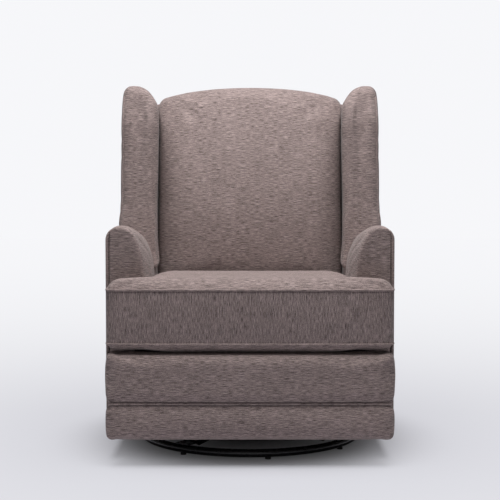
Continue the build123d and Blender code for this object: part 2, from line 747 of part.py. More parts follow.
spring_z = DECK_Z + RAIL_BOARD + SPRING_WIRE + WELD_GAP
loop_width = 44.0
loop_pitch = (spring_rear_y - rail_front_y - 20) / SPRING_LOOPS
with BuildPart() as seat_springs:
    for spring_x in SPRING_X:
        start_y = rail_front_y + 34
        with BuildLine() as spring_path:
            for loop in range(SPRING_LOOPS):
                hand = 1 if loop % 2 else -1
                low_y = start_y + loop * loop_pitch
                bend = loop_pitch / 2
                far_x = spring_x + hand * (loop_width / 2 - bend / 2)
                near_x = spring_x - hand * (loop_width / 2 - bend / 2)
                Line((near_x, low_y, spring_z), (far_x, low_y, spring_z))
                ThreePointArc(
                    (far_x, low_y, spring_z),
                    (far_x + hand * bend, low_y + bend, spring_z),
                    (far_x, low_y + loop_pitch, spring_z),
                )
        with BuildSketch(Plane(spring_path.line @ 0, z_dir=spring_path.line % 0)):
            Circle(SPRING_WIRE)
        sweep(path=spring_path.line)
finish(seat_springs.part, "seat_springs")

ear_back = ARM_FRONT_Y - 3
waist_front = ARM_INNER_X - 3
waist_back = ARM_INNER_X + 7
cushion_low = spring_z + SPRING_WIRE + SOFT_GAP

welt_edges = []
for welt_name, welt_z in {"seat_welt_top": SEAT_FRONT_Z, "seat_welt_bottom": WELT_LOW_Z}.items():
    with BuildPart() as seat_welt:
        with BuildLine(Plane.XY.offset(welt_z)) as welt_path:
            FilletPolyline(
                (EAR_X - 4, ear_back - 8),
                (EAR_X - 4, CUSHION_FRONT_Y + 4),
                (4 - EAR_X, CUSHION_FRONT_Y + 4),
                (4 - EAR_X, ear_back - 8),
                radius=22,
            )
        with BuildSketch(Plane(welt_path.line @ 0, z_dir=welt_path.line % 0)):
            Circle(WELT_RADIUS)
        sweep(path=welt_path.line)
    welt_edges.append(seat_welt.part)
    finish(seat_welt.part, welt_name)

with BuildPart() as seat_cushion:
    with BuildSketch(Plane.YZ.offset(-EAR_X - 5)):
        with BuildLine():
            outline(
                (CUSHION_BACK_Y, cushion_low),
                (CUSHION_BACK_Y, SEAT_FRONT_Z + 6),
                ((-160, SEAT_FRONT_Z + 31), (CUSHION_FRONT_Y + 5, SEAT_FRONT_Z)),
                ((CUSHION_FRONT_Y, (SEAT_FRONT_Z + WELT_LOW_Z) / 2), (CUSHION_FRONT_Y + 5, WELT_LOW_Z)),
                ((CUSHION_FRONT_Y + 14, WELT_LOW_Z - 11), (CUSHION_FRONT_Y + 40, CUSHION_KEEL_Z)),
                (BOARD_Y + 4, CUSHION_KEEL_Z),
                (BOARD_Y + 4, cushion_low),
            )
        make_face()
    extrude(amount=2 * (EAR_X + 5))
    with BuildSketch():
        with BuildLine():
            outline(
                (-waist_back, CUSHION_BACK_Y),
                (waist_back, CUSHION_BACK_Y),
                (waist_front, ear_back),
                (EAR_X - 10, ear_back),
                ((EAR_X - 3, ear_back - 3), (EAR_X, ear_back - 10)),
                ((EAR_X + 1, ear_back - 40), (EAR_X, CUSHION_FRONT_Y + 26)),
                ((EAR_X - 7, CUSHION_FRONT_Y + 10), (EAR_X - 22, CUSHION_FRONT_Y + 4)),
                ((0, CUSHION_FRONT_Y), (22 - EAR_X, CUSHION_FRONT_Y + 4)),
                ((7 - EAR_X, CUSHION_FRONT_Y + 10), (-EAR_X, CUSHION_FRONT_Y + 26)),
                ((-EAR_X - 1, ear_back - 40), (-EAR_X, ear_back - 10)),
                ((3 - EAR_X, ear_back - 3), (10 - EAR_X, ear_back)),
                (-waist_front, ear_back),
            )
        make_face()
    extrude(amount=2 * SEAT_FRONT_Z, mode=Mode.INTERSECT)
    with BuildSketch(Plane.XZ.offset(-CUSHION_FRONT_Y + 5)):
        with BuildLine():
            outline(
                (60 - EAR_X, CUSHION_KEEL_Z - 2),
                (EAR_X - 60, CUSHION_KEEL_Z - 2),
                ((EAR_X - 20, CUSHION_KEEL_Z + 3), (EAR_X - 2, WELT_LOW_Z)),
                ((EAR_X + 1, (SEAT_FRONT_Z + WELT_LOW_Z) / 2), (EAR_X - 2, SEAT_FRONT_Z)),
                ((EAR_X - 14, SEAT_FRONT_Z + 12), (EAR_X - 42, SEAT_FRONT_Z + 20)),
                ((0, SEAT_FRONT_Z + 33), (42 - EAR_X, SEAT_FRONT_Z + 20)),
                ((14 - EAR_X, SEAT_FRONT_Z + 12), (2 - EAR_X, SEAT_FRONT_Z)),
                ((-1 - EAR_X, (SEAT_FRONT_Z + WELT_LOW_Z) / 2), (2 - EAR_X, WELT_LOW_Z)),
                ((20 - EAR_X, CUSHION_KEEL_Z + 3), (60 - EAR_X, CUSHION_KEEL_Z - 2)),
            )
        make_face()
    extrude(amount=-(CUSHION_BACK_Y - CUSHION_FRONT_Y + 20), mode=Mode.INTERSECT)
    for welt in welt_edges:
        add(welt, mode=Mode.SUBTRACT)
finish(seat_cushion.part, "seat_cushion")

with BuildPart() as rear_panel:
    with BuildSketch(Plane.XZ.offset(-250)):
        with Locations((0, (FLOOR_CLEARANCE + 4 + BACK_PIVOT[1] - 10) / 2)):
            Rectangle(2 * (ARM_FRAME_X - SOFT_GAP), BACK_PIVOT[1] - 14 - FLOOR_CLEARANCE)
    extrude(amount=-12)
finish(rear_panel.part, "rear_panel")

# Back, drawn upright on its own leaning plane: across, up the back, and out towards the sitter

lean = radians(BACK_LEAN)
back_plane = Plane(
    origin=(0, BACK_FOOT[0], BACK_FOOT[1]), x_dir=(1, 0, 0), z_dir=(0, -cos(lean), sin(lean))
)
back_side = Plane(origin=(0, BACK_FOOT[0], BACK_FOOT[1]), x_dir=(0, -cos(lean), sin(lean)), z_dir=(-1, 0, 0))
wing_foot = (WING_LOW_Z - BACK_FOOT[1]) / cos(lean)
frame_out = PANEL_SHEET + FRAME_DEPTH
shoulder = 640.0
crest = 694.0

with BuildPart() as back_panel:
    with BuildSketch(back_plane):
        with BuildLine():
            outline(
                (-BACK_LOW_HALF, 0),
                (BACK_LOW_HALF, 0),
                (BACK_LOW_HALF, wing_foot),
                (WING_OUTER - 3, wing_foot),
                (WING_OUTER - 3, shoulder),
                ((WING_OUTER - 20, shoulder + 18), (WING_OUTER - 60, shoulder + 24)),
                ((0, crest), (60 - WING_OUTER, shoulder + 24)),
                ((20 - WING_OUTER, shoulder + 18), (3 - WING_OUTER, shoulder)),
                (3 - WING_OUTER, wing_foot),
                (-BACK_LOW_HALF, wing_foot),
            )
        make_face()
    extrude(amount=PANEL_SHEET)
finish(back_panel.part, "back_panel")

post_top = 610.0
with BuildPart() as back_posts:
    with BuildSketch(back_plane.offset(PANEL_SHEET)):
        post_middle = POST_X + POST_WIDTH / 2
        with Locations((-post_middle, post_top / 2 + 3), (post_middle, post_top / 2 + 3)):
            Rectangle(POST_WIDTH, post_top)
    extrude(amount=FRAME_DEPTH)
finish(back_posts.part, "back_posts")

rail_heights = {"back_bottom_rail": 44, "back_middle_rail": 330, "back_top_rail": 570}
for rail_name, rail_up in rail_heights.items():
    with BuildPart() as back_rail:
        with BuildSketch(back_plane.offset(PANEL_SHEET)):
            with Locations((0, rail_up)):
                Rectangle(2 * POST_X, 60)
        extrude(amount=FRAME_DEPTH)
    finish(back_rail.part, rail_name)

cleat_heights = (330.0, 570.0)
cleat_height = 50.0
with BuildPart() as wing_cleats:
    for cleat_up in cleat_heights:
        for hand in (-1, 1):
            with BuildSketch(back_plane.offset(PANEL_SHEET)):
                with Locations((hand * (POST_X + POST_WIDTH + WING_BOARD_X) / 2, cleat_up)):
                    Rectangle(WING_BOARD_X - POST_X - POST_WIDTH, cleat_height)
            extrude(amount=FRAME_DEPTH)
finish(wing_cleats.part, "wing_cleats")

hinge_x = POST_X + POST_WIDTH
hinge_up = back_plane.from_local_coords((0, 150, 26))
hinge_top = (hinge_up.Y, hinge_up.Z)
with BuildPart() as hinge_brackets:
    for hand in (-1, 1):
        with BuildSketch(Plane.YZ.offset(hand * hinge_x)):
            with Locations(BACK_PIVOT):
                Circle(13)
            with Locations(hinge_top):
                Circle(11)
            make_hull()
            with Locations(BACK_PIVOT):
                Circle(BACK_PIN_RADIUS + PIN_GAP, mode=Mode.SUBTRACT)
        extrude(amount=hand * HINGE_SHEET)
finish(hinge_brackets.part, "hinge_brackets")

with BuildPart() as back_pivot_pins:
    for hand in (-1, 1):
        pin_spans = (
            (hinge_x - 5.2, 5, 11),
            (hinge_x - 0.2, PLATE_X - hinge_x + PLATE_SHEET, BACK_PIN_RADIUS),
            (hinge_x + HINGE_SHEET + 0.2, PLATE_X - hinge_x - HINGE_SHEET - 0.4, 9),
        )
        for start, length, radius in pin_spans:
            with BuildSketch(Plane.YZ.offset(hand * start)):
                with Locations(BACK_PIVOT):
                    Circle(radius)
            extrude(amount=hand * length)
finish(back_pivot_pins.part, "back_pivot_pins")

pad_foot = 24.0
with BuildPart() as back_pad:
    with BuildSketch(back_plane.offset(PANEL_SHEET)):
        with BuildLine():
            outline(
                (-BACK_HALF, pad_foot),
                (BACK_HALF, pad_foot),
                (BACK_HALF, shoulder - 40),
                ((BACK_HALF - 8, shoulder - 22), (BACK_HALF - 26, shoulder - 12)),
                ((0, crest - 14), (26 - BACK_HALF, shoulder - 12)),
                ((8 - BACK_HALF, shoulder - 22), (-BACK_HALF, shoulder - 40)),
            )
        make_face()
    extrude(amount=FRAME_DEPTH + 160)
    with BuildSketch(back_side.offset(-BACK_HALF - 5)):
        with BuildLine():
            outline(
                (frame_out + SOFT_GAP, pad_foot),
                (frame_out + 112, pad_foot),
                ((frame_out + 130, pad_foot + 22), (frame_out + 135, pad_foot + 60)),
                ((frame_out + 138, 300), (frame_out + 112, shoulder - 40)),
                ((frame_out + 90, crest - 26), (frame_out + 40, crest - 13)),
                (PANEL_SHEET + SOFT_GAP, crest - 13),
                (PANEL_SHEET + SOFT_GAP, post_top + 5),
                (frame_out + SOFT_GAP, post_top + 5),
            )
        make_face()
    extrude(amount=2 * (BACK_HALF + 5), mode=Mode.INTERSECT)
    with BuildSketch(Plane(origin=back_plane.origin, x_dir=(1, 0, 0), z_dir=back_plane.y_dir)):
        with BuildLine():
            outline(
                (-BACK_HALF, 0),
                (-BACK_HALF, -frame_out - 76),
                ((12 - BACK_HALF, -frame_out - 96), (40 - BACK_HALF, -frame_out - 112)),
                ((0, -frame_out - 140), (BACK_HALF - 40, -frame_out - 112)),
                ((BACK_HALF - 12, -frame_out - 96), (BACK_HALF, -frame_out - 76)),
                (BACK_HALF, 0),
            )
        make_face()
    extrude(amount=crest + 20, mode=Mode.INTERSECT)
finish(back_pad.part, "back_pad")

with BuildPart() as wing_boards:
    for hand in (-1, 1):
        with BuildSketch(back_side.offset(-hand * WING_BOARD_X)):
            with BuildLine():
                outline(
                    (PANEL_SHEET, wing_foot + 10),
                    (PANEL_SHEET + 190, wing_foot - 20),
                    (PANEL_SHEET + 200, wing_foot + 150),
                    ((PANEL_SHEET + 190, shoulder - 75), (PANEL_SHEET + 140, shoulder - 50)),
                    (PANEL_SHEET, shoulder - 44),
                )
            make_face()
        extrude(amount=-hand * WING_BOARD)
finish(wing_boards.part, "wing_boards")

board_gap = WING_BOARD_X - SOFT_GAP
pocket_low = wing_foot - 80
pocket_high = cleat_heights[-1] + cleat_height / 2 + 11
with BuildPart() as wing_right:
    with BuildSketch(Plane.YZ.offset(WING_INNER)):
        with BuildLine():
            outline(
                (WING_FRONT_Y, WING_LOW_Z + 10),
                ((WING_FRONT_Y + 4, WING_LOW_Z + 3), (WING_FRONT_Y + 12, WING_LOW_Z)),
                (WING_FRONT_Y + 450, WING_LOW_Z),
                (WING_FRONT_Y + 450, WING_TOP_Z - 50),
                (WING_FRONT_Y + 170, WING_TOP_Z - 3),
                ((WING_FRONT_Y + 100, WING_TOP_Z - 4), (WING_FRONT_Y + 58, WING_TOP_Z - 26)),
                ((WING_FRONT_Y + 36, WING_TOP_Z - 57), (WING_FRONT_Y + 28, WING_TOP_Z - 102)),
            )
        make_face()
    extrude(amount=WING_OUTER - WING_INNER)
    split(bisect_by=back_plane.offset(PANEL_SHEET), keep=Keep.TOP)
    with BuildSketch(Plane.XZ):
        with BuildLine():
            outline(
                (WING_INNER, WING_LOW_Z - 1),
                (WING_OUTER, WING_LOW_Z - 1),
                (WING_OUTER, WING_TOP_Z - 41),
                ((WING_OUTER - 8, WING_TOP_Z - 16), (WING_OUTER - 26, WING_TOP_Z - 4)),
                ((WING_OUTER - 46, WING_TOP_Z), (WING_OUTER - 66, WING_TOP_Z - 7)),
                ((WING_INNER + 16, WING_TOP_Z - 21), (WING_INNER, WING_TOP_Z - 50)),
            )
        make_face()
    extrude(amount=-600, mode=Mode.INTERSECT)
    with BuildSketch():
        with BuildLine():
            outline(
                (WING_INNER, WING_FRONT_Y + 450),
                (WING_INNER, WING_FRONT_Y + 80),
                ((WING_INNER + 10, WING_FRONT_Y + 34), (WING_INNER + 42, WING_FRONT_Y + 5)),
                ((WING_INNER + 66, WING_FRONT_Y - 3), (WING_OUTER - 16, WING_FRONT_Y + 3)),
                ((WING_OUTER - 4, WING_FRONT_Y + 12), (WING_OUTER, WING_FRONT_Y + 30)),
                (WING_OUTER, WING_FRONT_Y + 450),
            )
        make_face()
    extrude(amount=1100, mode=Mode.INTERSECT)
    with BuildSketch(back_plane.offset(PANEL_SHEET)):
        with Locations(((WING_INNER + WING_BOARD_X) / 2 - 20, (pocket_low + pocket_high) / 2)):
            Rectangle(WING_BOARD_X - WING_INNER + 40, pocket_high - pocket_low)
    extrude(amount=FRAME_DEPTH, mode=Mode.SUBTRACT)
    with BuildSketch(back_side.offset(-board_gap)):
        with BuildLine():
            outline(
                (PANEL_SHEET - 1, wing_foot - 60),
                (PANEL_SHEET + 200.5, wing_foot - 60),
                (PANEL_SHEET + 200.5, wing_foot + 150),
                ((PANEL_SHEET + 190.5, shoulder - 74.5), (PANEL_SHEET + 140.2, shoulder - 49.5)),
                (PANEL_SHEET - 1, shoulder - 43.4),
            )
        make_face()
    extrude(amount=-WING_BOARD - 2 * SOFT_GAP, mode=Mode.SUBTRACT)
finish(wing_right.part, "wing_right")

with BuildPart() as wing_left:
    add(mirror(wing_right.part, about=Plane.YZ))
finish(wing_left.part, "wing_left")
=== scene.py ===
"""Looks of a wing-back swivel glider recliner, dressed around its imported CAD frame."""

import json
import logging
import math
from dataclasses import dataclass, field
from enum import Enum
from typing import Any, Callable, Optional, Sequence

import bmesh
import bpy
import numpy as np
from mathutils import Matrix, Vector
from mathutils.bvhtree import BVHTree


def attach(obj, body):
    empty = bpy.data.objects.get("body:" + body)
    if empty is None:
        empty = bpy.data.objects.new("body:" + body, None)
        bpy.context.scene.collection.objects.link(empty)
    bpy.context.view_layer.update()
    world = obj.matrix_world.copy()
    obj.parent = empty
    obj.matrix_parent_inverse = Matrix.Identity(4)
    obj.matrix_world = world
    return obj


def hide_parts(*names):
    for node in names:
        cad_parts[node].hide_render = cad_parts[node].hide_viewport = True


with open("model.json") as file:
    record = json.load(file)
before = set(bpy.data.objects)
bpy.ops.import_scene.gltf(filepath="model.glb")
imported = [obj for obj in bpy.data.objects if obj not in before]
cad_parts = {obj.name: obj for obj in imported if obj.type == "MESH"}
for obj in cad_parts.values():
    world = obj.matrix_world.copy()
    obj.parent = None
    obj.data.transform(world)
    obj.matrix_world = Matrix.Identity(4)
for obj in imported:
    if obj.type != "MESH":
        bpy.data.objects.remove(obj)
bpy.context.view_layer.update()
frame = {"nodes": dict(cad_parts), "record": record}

log = logging.getLogger("recliner")
Array = np.ndarray
Point = tuple[float, float, float]
Colour = tuple[float, float, float]
Span = tuple[float, float]

LEAN = math.radians(12.0)
BACK_FOOT = np.array((0.0, 0.273, 0.345))
BACK_UP = np.array((0.0, math.sin(LEAN), math.cos(LEAN)))
BACK_OUT = np.array((0.0, -math.cos(LEAN), math.sin(LEAN)))
ACROSS = np.array((1.0, 0.0, 0.0))
OTHER_HAND = np.array((-1.0, 1.0, 1.0))
LAY = "lay"

CURVE_STEPS = 24
CORD_SIDES = 10
SPOT_WINDOW = 5
NORMAL_WINDOW = 9
END_RINGS = (0.0, 0.25, 0.5, 0.75)
MERGE_REACH = 2e-5
SLIVER = 1e-6
TINY = 1e-9


class Side(Enum):
    """Which hand of the chair a piece sits on, as the CAD nodes name it."""

    LEFT = "left"
    RIGHT = "right"


class Run(Enum):
    """Which way the slubs of the cloth run on a piece."""

    LEVEL = "level"
    UPRIGHT = "upright"


def ease(value: Array, low: float, high: float) -> Array:
    """Rise smoothly from 0 at low to 1 at high.

    Args:
        value: Where to read the step.
        low: Start of the rise.
        high: End of the rise.

    Returns:
        The cubic step 3t^2 - 2t^3 of the clamped fraction t.
    """
    t = np.clip((value - low) / (high - low), 0.0, 1.0)
    return t * t * (3.0 - 2.0 * t)


def ridge(value: Array, middle: float, width: float) -> Array:
    """Give a bell curve that is 1 at the middle and falls off over the width."""
    return np.exp(-(((value - middle) / width) ** 2))


def at_even_steps(walk: Array, count: int, closed: bool = False) -> Array:
    """Spread points evenly along a walk of straight steps, leaving its end out where it is closed."""
    reach = np.concatenate([[0.0], np.cumsum(np.linalg.norm(np.diff(walk, axis=0), axis=1))])
    wanted = np.linspace(0.0, reach[-1], count, endpoint=not closed)
    return np.stack([np.interp(wanted, reach, column) for column in walk.T], axis=1)


def closed_curve(points: Sequence[Span], count: int) -> Array:
    """Carry a closed Catmull-Rom curve through a few points, in even steps of length."""
    knots = np.asarray(points, dtype=float)
    knots = np.concatenate([knots[-1:], knots, knots[:2]])
    t = np.linspace(0.0, 1.0, CURVE_STEPS, endpoint=False)[None, :, None]
    a, b, c, d = knots[:-3, None], knots[1:-2, None], knots[2:-1, None], knots[3:, None]
    bend = (2.0 * a - 5.0 * b + 4.0 * c - d) * t**2
    fine = 0.5 * (2.0 * b + (c - a) * t + bend + (3.0 * b - a - 3.0 * c + d) * t**3)
    fine = np.concatenate([fine.reshape(-1, knots.shape[1]), knots[-2:-1]])
    return at_even_steps(fine, count, closed=True)


def inset(ring: Array, amount: Array) -> Array:
    """Move a closed counter-clockwise outline inwards along its normals, by an amount for each point."""
    along = np.roll(ring, -1, axis=0) - np.roll(ring, 1, axis=0)
    along /= np.maximum(np.linalg.norm(along, axis=1, keepdims=True), TINY)
    inwards = np.stack([-along[:, 1], along[:, 0]], axis=1)
    return ring + inwards * np.reshape(amount, (-1, 1))


def on_back(across: Array, up: Array, out: Array) -> Array:
    """Place points given across, up and out of the leaning back into the shared frame."""
    return BACK_FOOT + across[..., None] * ACROSS + up[..., None] * BACK_UP + out[..., None] * BACK_OUT


def linked(name: str, data: Any) -> bpy.types.Object:
    """Put a new object with the given data into the scene, at the origin."""
    obj = bpy.data.objects.new(name, data)
    bpy.context.scene.collection.objects.link(obj)
    return obj


@dataclass
class Skin:
    """A surface as whole arrays: points of shape (N, 3) and four-cornered faces of shape (M, 4)."""

    points: Array
    faces: Array

    @classmethod
    def grid(cls, points: Array, wrap: bool = False, flip: bool = False) -> "Skin":
        """Join a grid of points into faces.

        Args:
            points: Grid of shape (rows, columns, 3).
            wrap: Whether the columns close on themselves.
            flip: Whether the faces turn over.

        Returns:
            The skin of the grid.
        """
        rows, columns = points.shape[:2]
        number = np.arange(rows * columns).reshape(rows, columns)
        if wrap:
            number = np.concatenate([number, number[:, :1]], axis=1)
        corners = [number[:-1, :-1], number[1:, :-1], number[1:, 1:], number[:-1, 1:]]
        faces = np.stack(corners, axis=-1).reshape(-1, 4)
        return cls(points.reshape(-1, 3), faces[:, ::-1] if flip else faces)

    @classmethod
    def block(cls, low: Sequence[float], high: Sequence[float], radius: float, pitch: float) -> "Skin":
        """Build a box with round edges from six grids.

        Each grid point of the plain box is clamped to a core smaller by the radius, and then set one
        radius away from that core along the line between them.

        Args:
            low: Lowest corner.
            high: Highest corner.
            radius: Edge radius.
            pitch: Grid spacing.

        Returns:
            The closed skin.
        """
        middle = (np.asarray(low) + np.asarray(high)) / 2.0
        half = (np.asarray(high) - np.asarray(low)) / 2.0
        skins = []
        for axis in range(3):
            first, second = (axis + 1) % 3, (axis + 2) % 3
            steps = [max(3, int(2.0 * half[k] / pitch) + 1) for k in (first, second)]
            u, v = np.meshgrid(*(np.linspace(-1.0, 1.0, step) for step in steps), indexing="ij")
            for sign in (-1.0, 1.0):
                spot = np.empty(u.shape + (3,))
                spot[..., axis] = sign * half[axis]
                spot[..., first] = u * half[first]
                spot[..., second] = v * half[second]
                core = np.clip(spot, radius - half, half - radius)
                away = spot - core
                away /= np.linalg.norm(away, axis=-1, keepdims=True)
                skins.append(cls.grid(middle + core + radius * away, flip=sign < 0.0))
        return cls.joined(skins)

    @classmethod
    def loft(cls, rings: Array) -> "Skin":
        """Join closed rings of shape (K, N, 3) in a row and close both ends on their middles."""
        shrink = np.array(END_RINGS)[:, None, None]
        start = rings[0].mean(axis=0) + (rings[0] - rings[0].mean(axis=0))[None] * shrink
        end = rings[-1].mean(axis=0) + (rings[-1] - rings[-1].mean(axis=0))[None] * shrink[::-1]
        return cls.grid(np.concatenate([start, rings, end]), wrap=True, flip=True)

    @classmethod
    def joined(cls, skins: Sequence["Skin"]) -> "Skin":
        """Put several skins into one."""
        starts = np.cumsum([0] + [len(skin.points) for skin in skins[:-1]])
        points = np.concatenate([skin.points for skin in skins])
        return cls(points, np.concatenate([skin.faces + start for skin, start in zip(skins, starts)]))

    @classmethod
    def tube(cls, path: Array, up: Array, width: float, height: float) -> "Skin":
        """Carry an oval along a path and close it on both ends.

        Args:
            path: Points of the path, shape (N, 3).
            up: Direction of the oval's height at each point.
            width: Half width of the oval.
            height: Half height of the oval.

        Returns:
            The skin of the cord.
        """
        along = np.gradient(path, axis=0)
        sideways = np.cross(along, up)
        sideways /= np.linalg.norm(sideways, axis=1, keepdims=True)
        lift = np.cross(sideways, along)
        lift /= np.linalg.norm(lift, axis=1, keepdims=True)
        turn = np.linspace(0.0, 2.0 * math.pi, CORD_SIDES, endpoint=False)[None, :, None]
        rings = path[:, None] + width * np.cos(turn) * sideways[:, None]
        rings = rings + height * np.sin(turn) * lift[:, None]
        start = np.repeat(path[:1, None], CORD_SIDES, axis=1)
        end = np.repeat(path[-1:, None], CORD_SIDES, axis=1)
        return cls.grid(np.concatenate([start, rings, end]), wrap=True)

    def piece(self, name: str) -> bpy.types.Object:
        """Put the skin into the scene as a closed, smooth, outward-facing object at the origin."""
        mesh = bpy.data.meshes.new(name)
        mesh.from_pydata(self.points.tolist(), [], self.faces.tolist())
        sheet = bmesh.new()
        sheet.from_mesh(mesh)
        bmesh.ops.remove_doubles(sheet, verts=sheet.verts, dist=MERGE_REACH)
        bmesh.ops.dissolve_degenerate(sheet, dist=SLIVER, edges=sheet.edges)
        bmesh.ops.recalc_face_normals(sheet, faces=sheet.faces)
        sheet.to_mesh(mesh)
        sheet.free()
        mesh.shade_smooth()
        return linked(name, mesh)


def fetched(items: Any, name: str) -> Array:
    """Read a three-part property of every item as an array of shape (N, 3)."""
    flat = np.empty(len(items) * 3, dtype=np.float32)
    items.foreach_get(name, flat)
    return flat.reshape(-1, 3).astype(float)


def read_points(obj: bpy.types.Object) -> Array:
    """Read an object's points as an array of shape (N, 3)."""
    return fetched(obj.data.vertices, "co")


def write_points(obj: bpy.types.Object, points: Array) -> None:
    """Write an object's points from an array of shape (N, 3)."""
    obj.data.vertices.foreach_set("co", np.ascontiguousarray(points, dtype=np.float32).ravel())
    obj.data.update()


def read_faces(obj: bpy.types.Object) -> tuple[Array, Array]:
    """Read the middle and the normal of each face of an object."""
    return fetched(obj.data.polygons, "center"), fetched(obj.data.polygons, "normal")


def write_lay(obj: bpy.types.Object) -> None:
    """Write on each point which way the surface faces, as the size of each part of its normal."""
    facing = np.abs(fetched(obj.data.vertices, "normal"))
    lay = obj.data.attributes.new(LAY, "FLOAT_VECTOR", "POINT")
    lay.data.foreach_set("vector", facing.astype(np.float32).ravel())


def snapped(obj: bpy.types.Object, path: Array) -> tuple[Array, Array]:
    """Move a path onto an object and give it with its surface normals, both evened out along it."""
    points, faces = read_points(obj), [tuple(face.vertices) for face in obj.data.polygons]
    tree = BVHTree.FromPolygons(points.tolist(), faces)
    found = [tree.find_nearest(Vector(spot)) for spot in path.tolist()]
    spots = np.array([tuple(hit[0]) for hit in found])
    normals = np.array([tuple(hit[1]) for hit in found])
    return evened(spots, SPOT_WINDOW), evened(normals, NORMAL_WINDOW)


def evened(values: Array, window: int) -> Array:
    """Average an array along its first axis over a window, keeping its ends."""
    half = window // 2
    padded = np.concatenate([np.repeat(values[:1], half, 0), values, np.repeat(values[-1:], half, 0)])
    total = np.cumsum(np.concatenate([np.zeros_like(padded[:1]), padded]), axis=0)
    result = (total[window:] - total[:-window]) / window
    result[0], result[-1] = values[0], values[-1]
    return result


@dataclass(frozen=True)
class Stuffing:
    """How a padded cover is filled out: a fine even mesh, blown up as cloth by at most the travel."""

    voxel: float = 0.010
    pressure: float = 4.0
    travel: float = 0.010
    frames: int = 20
    calm: int = 0

    def apply(self, obj: bpy.types.Object, kind: str, **settings: Any) -> None:
        """Put a modifier on an object and apply it."""
        bpy.context.view_layer.objects.active = obj
        modifier = obj.modifiers.new(kind.lower(), kind)
        for key, value in settings.items():
            setattr(modifier, key, value)
        bpy.ops.object.modifier_apply(modifier=modifier.name)

    def soften(self, obj: bpy.types.Object, times: int) -> None:
        """Smooth an object a number of times."""
        self.apply(obj, "SMOOTH", factor=0.5, iterations=times)

    def even_mesh(self, obj: bpy.types.Object, smooth: int) -> None:
        """Remesh an object into small even faces and smooth the steps out."""
        bpy.context.view_layer.objects.active = obj
        obj.data.remesh_voxel_size = self.voxel
        bpy.ops.object.voxel_remesh()
        self.soften(obj, smooth)
        obj.data.shade_smooth()

    def fill(self, obj: bpy.types.Object, held: Callable[[Array], Array]) -> None:
        """Blow the cover up as cloth, held where it is sewn or rests on its frame.

        Args:
            obj: Closed cover with small even faces.
            held: Tells for each point whether it stays where it is.
        """
        before = read_points(obj)
        group = obj.vertex_groups.new(name="held")
        group.add(np.flatnonzero(held(before)).tolist(), 1.0, "REPLACE")
        cloth = obj.modifiers.new("stuffing", "CLOTH")
        cloth.settings.use_pressure = True
        cloth.settings.uniform_pressure_force = self.pressure
        cloth.settings.effector_weights.gravity = 0.0
        cloth.settings.vertex_group_mass = group.name
        cloth.point_cache.frame_start = 1
        cloth.point_cache.frame_end = self.frames
        scene = bpy.context.scene
        for step in range(1, self.frames + 1):
            scene.frame_set(step)
        ready = obj.evaluated_get(bpy.context.evaluated_depsgraph_get())
        after = read_points(ready)
        obj.modifiers.remove(cloth)
        obj.vertex_groups.remove(group)
        scene.frame_set(1)
        move = after - before
        length = np.linalg.norm(move, axis=1, keepdims=True)
        write_points(obj, before + move * np.minimum(1.0, self.travel / np.maximum(length, TINY)))
        log.info("%s moved up to %.1f mm", obj.name, 1000.0 * float(length.max()))

    def refine(self, obj: bpy.types.Object) -> None:
        """Divide each face of a filled cover once."""
        self.apply(obj, "SUBSURF", levels=1, render_levels=1)
        obj.data.shade_smooth()

    def stuff(self, obj: bpy.types.Object, held: Callable[[Array], Array], smooth: int = 3) -> None:
        """Even out, fill and refine a cover.

        Args:
            obj: Closed cover.
            held: Tells for each point whether it stays where it is.
            smooth: How often the steps of the even mesh are smoothed.
        """
        self.even_mesh(obj, smooth)
        self.fill(obj, held)
        if self.calm:
            self.soften(obj, self.calm)
        self.refine(obj)


def mirrored_copy(obj: bpy.types.Object, name: str) -> bpy.types.Object:
    """Copy a finished piece to the other hand of the chair."""
    twin = linked(name, obj.data.copy())
    write_points(twin, read_points(obj) * OTHER_HAND)
    twin.data.flip_normals()
    return twin


def operator(operation: str, swapped: bool = False) -> Callable[["Signal", Any], "Signal"]:
    """Make one arithmetic operator of signals, swapped where the other value stands on the left."""

    def method(self: "Signal", other: Any) -> "Signal":
        """Put the Math node on both values."""
        return self.combine(operation, *((other, self) if swapped else (self, other)))

    return method


class Signal:
    """A shader socket that takes part in plain arithmetic."""

    def __init__(self, graph: "Graph", socket: bpy.types.NodeSocket) -> None:
        """Keep the socket and the graph that it belongs to."""
        self.graph = graph
        self.socket = socket

    def combine(self, operation: str, *values: Any) -> "Signal":
        """Put one Math node on this and other values."""
        return self.graph.node("ShaderNodeMath", {"operation": operation}, dict(enumerate(values)))

    __add__, __radd__ = operator("ADD"), operator("ADD", swapped=True)
    __sub__, __rsub__ = operator("SUBTRACT"), operator("SUBTRACT", swapped=True)
    __mul__, __rmul__ = operator("MULTIPLY"), operator("MULTIPLY", swapped=True)
    __truediv__, __rtruediv__ = operator("DIVIDE"), operator("DIVIDE", swapped=True)

    def sine(self) -> "Signal":
        """Give the sine."""
        return self.combine("SINE", self)

    def root(self) -> "Signal":
        """Give the square root."""
        return self.combine("SQRT", self)

    def ease(self, low: float, high: float) -> "Signal":
        """Rise smoothly from 0 at low to 1 at high."""
        settings = {"interpolation_type": "SMOOTHSTEP"}
        inputs = {"Value": self, "From Min": low, "From Max": high}
        return self.graph.node("ShaderNodeMapRange", settings, inputs)

    def blend(self, other: "Signal", share: "Signal") -> "Signal":
        """Go from this value to another by a share."""
        return self + (other - self) * share


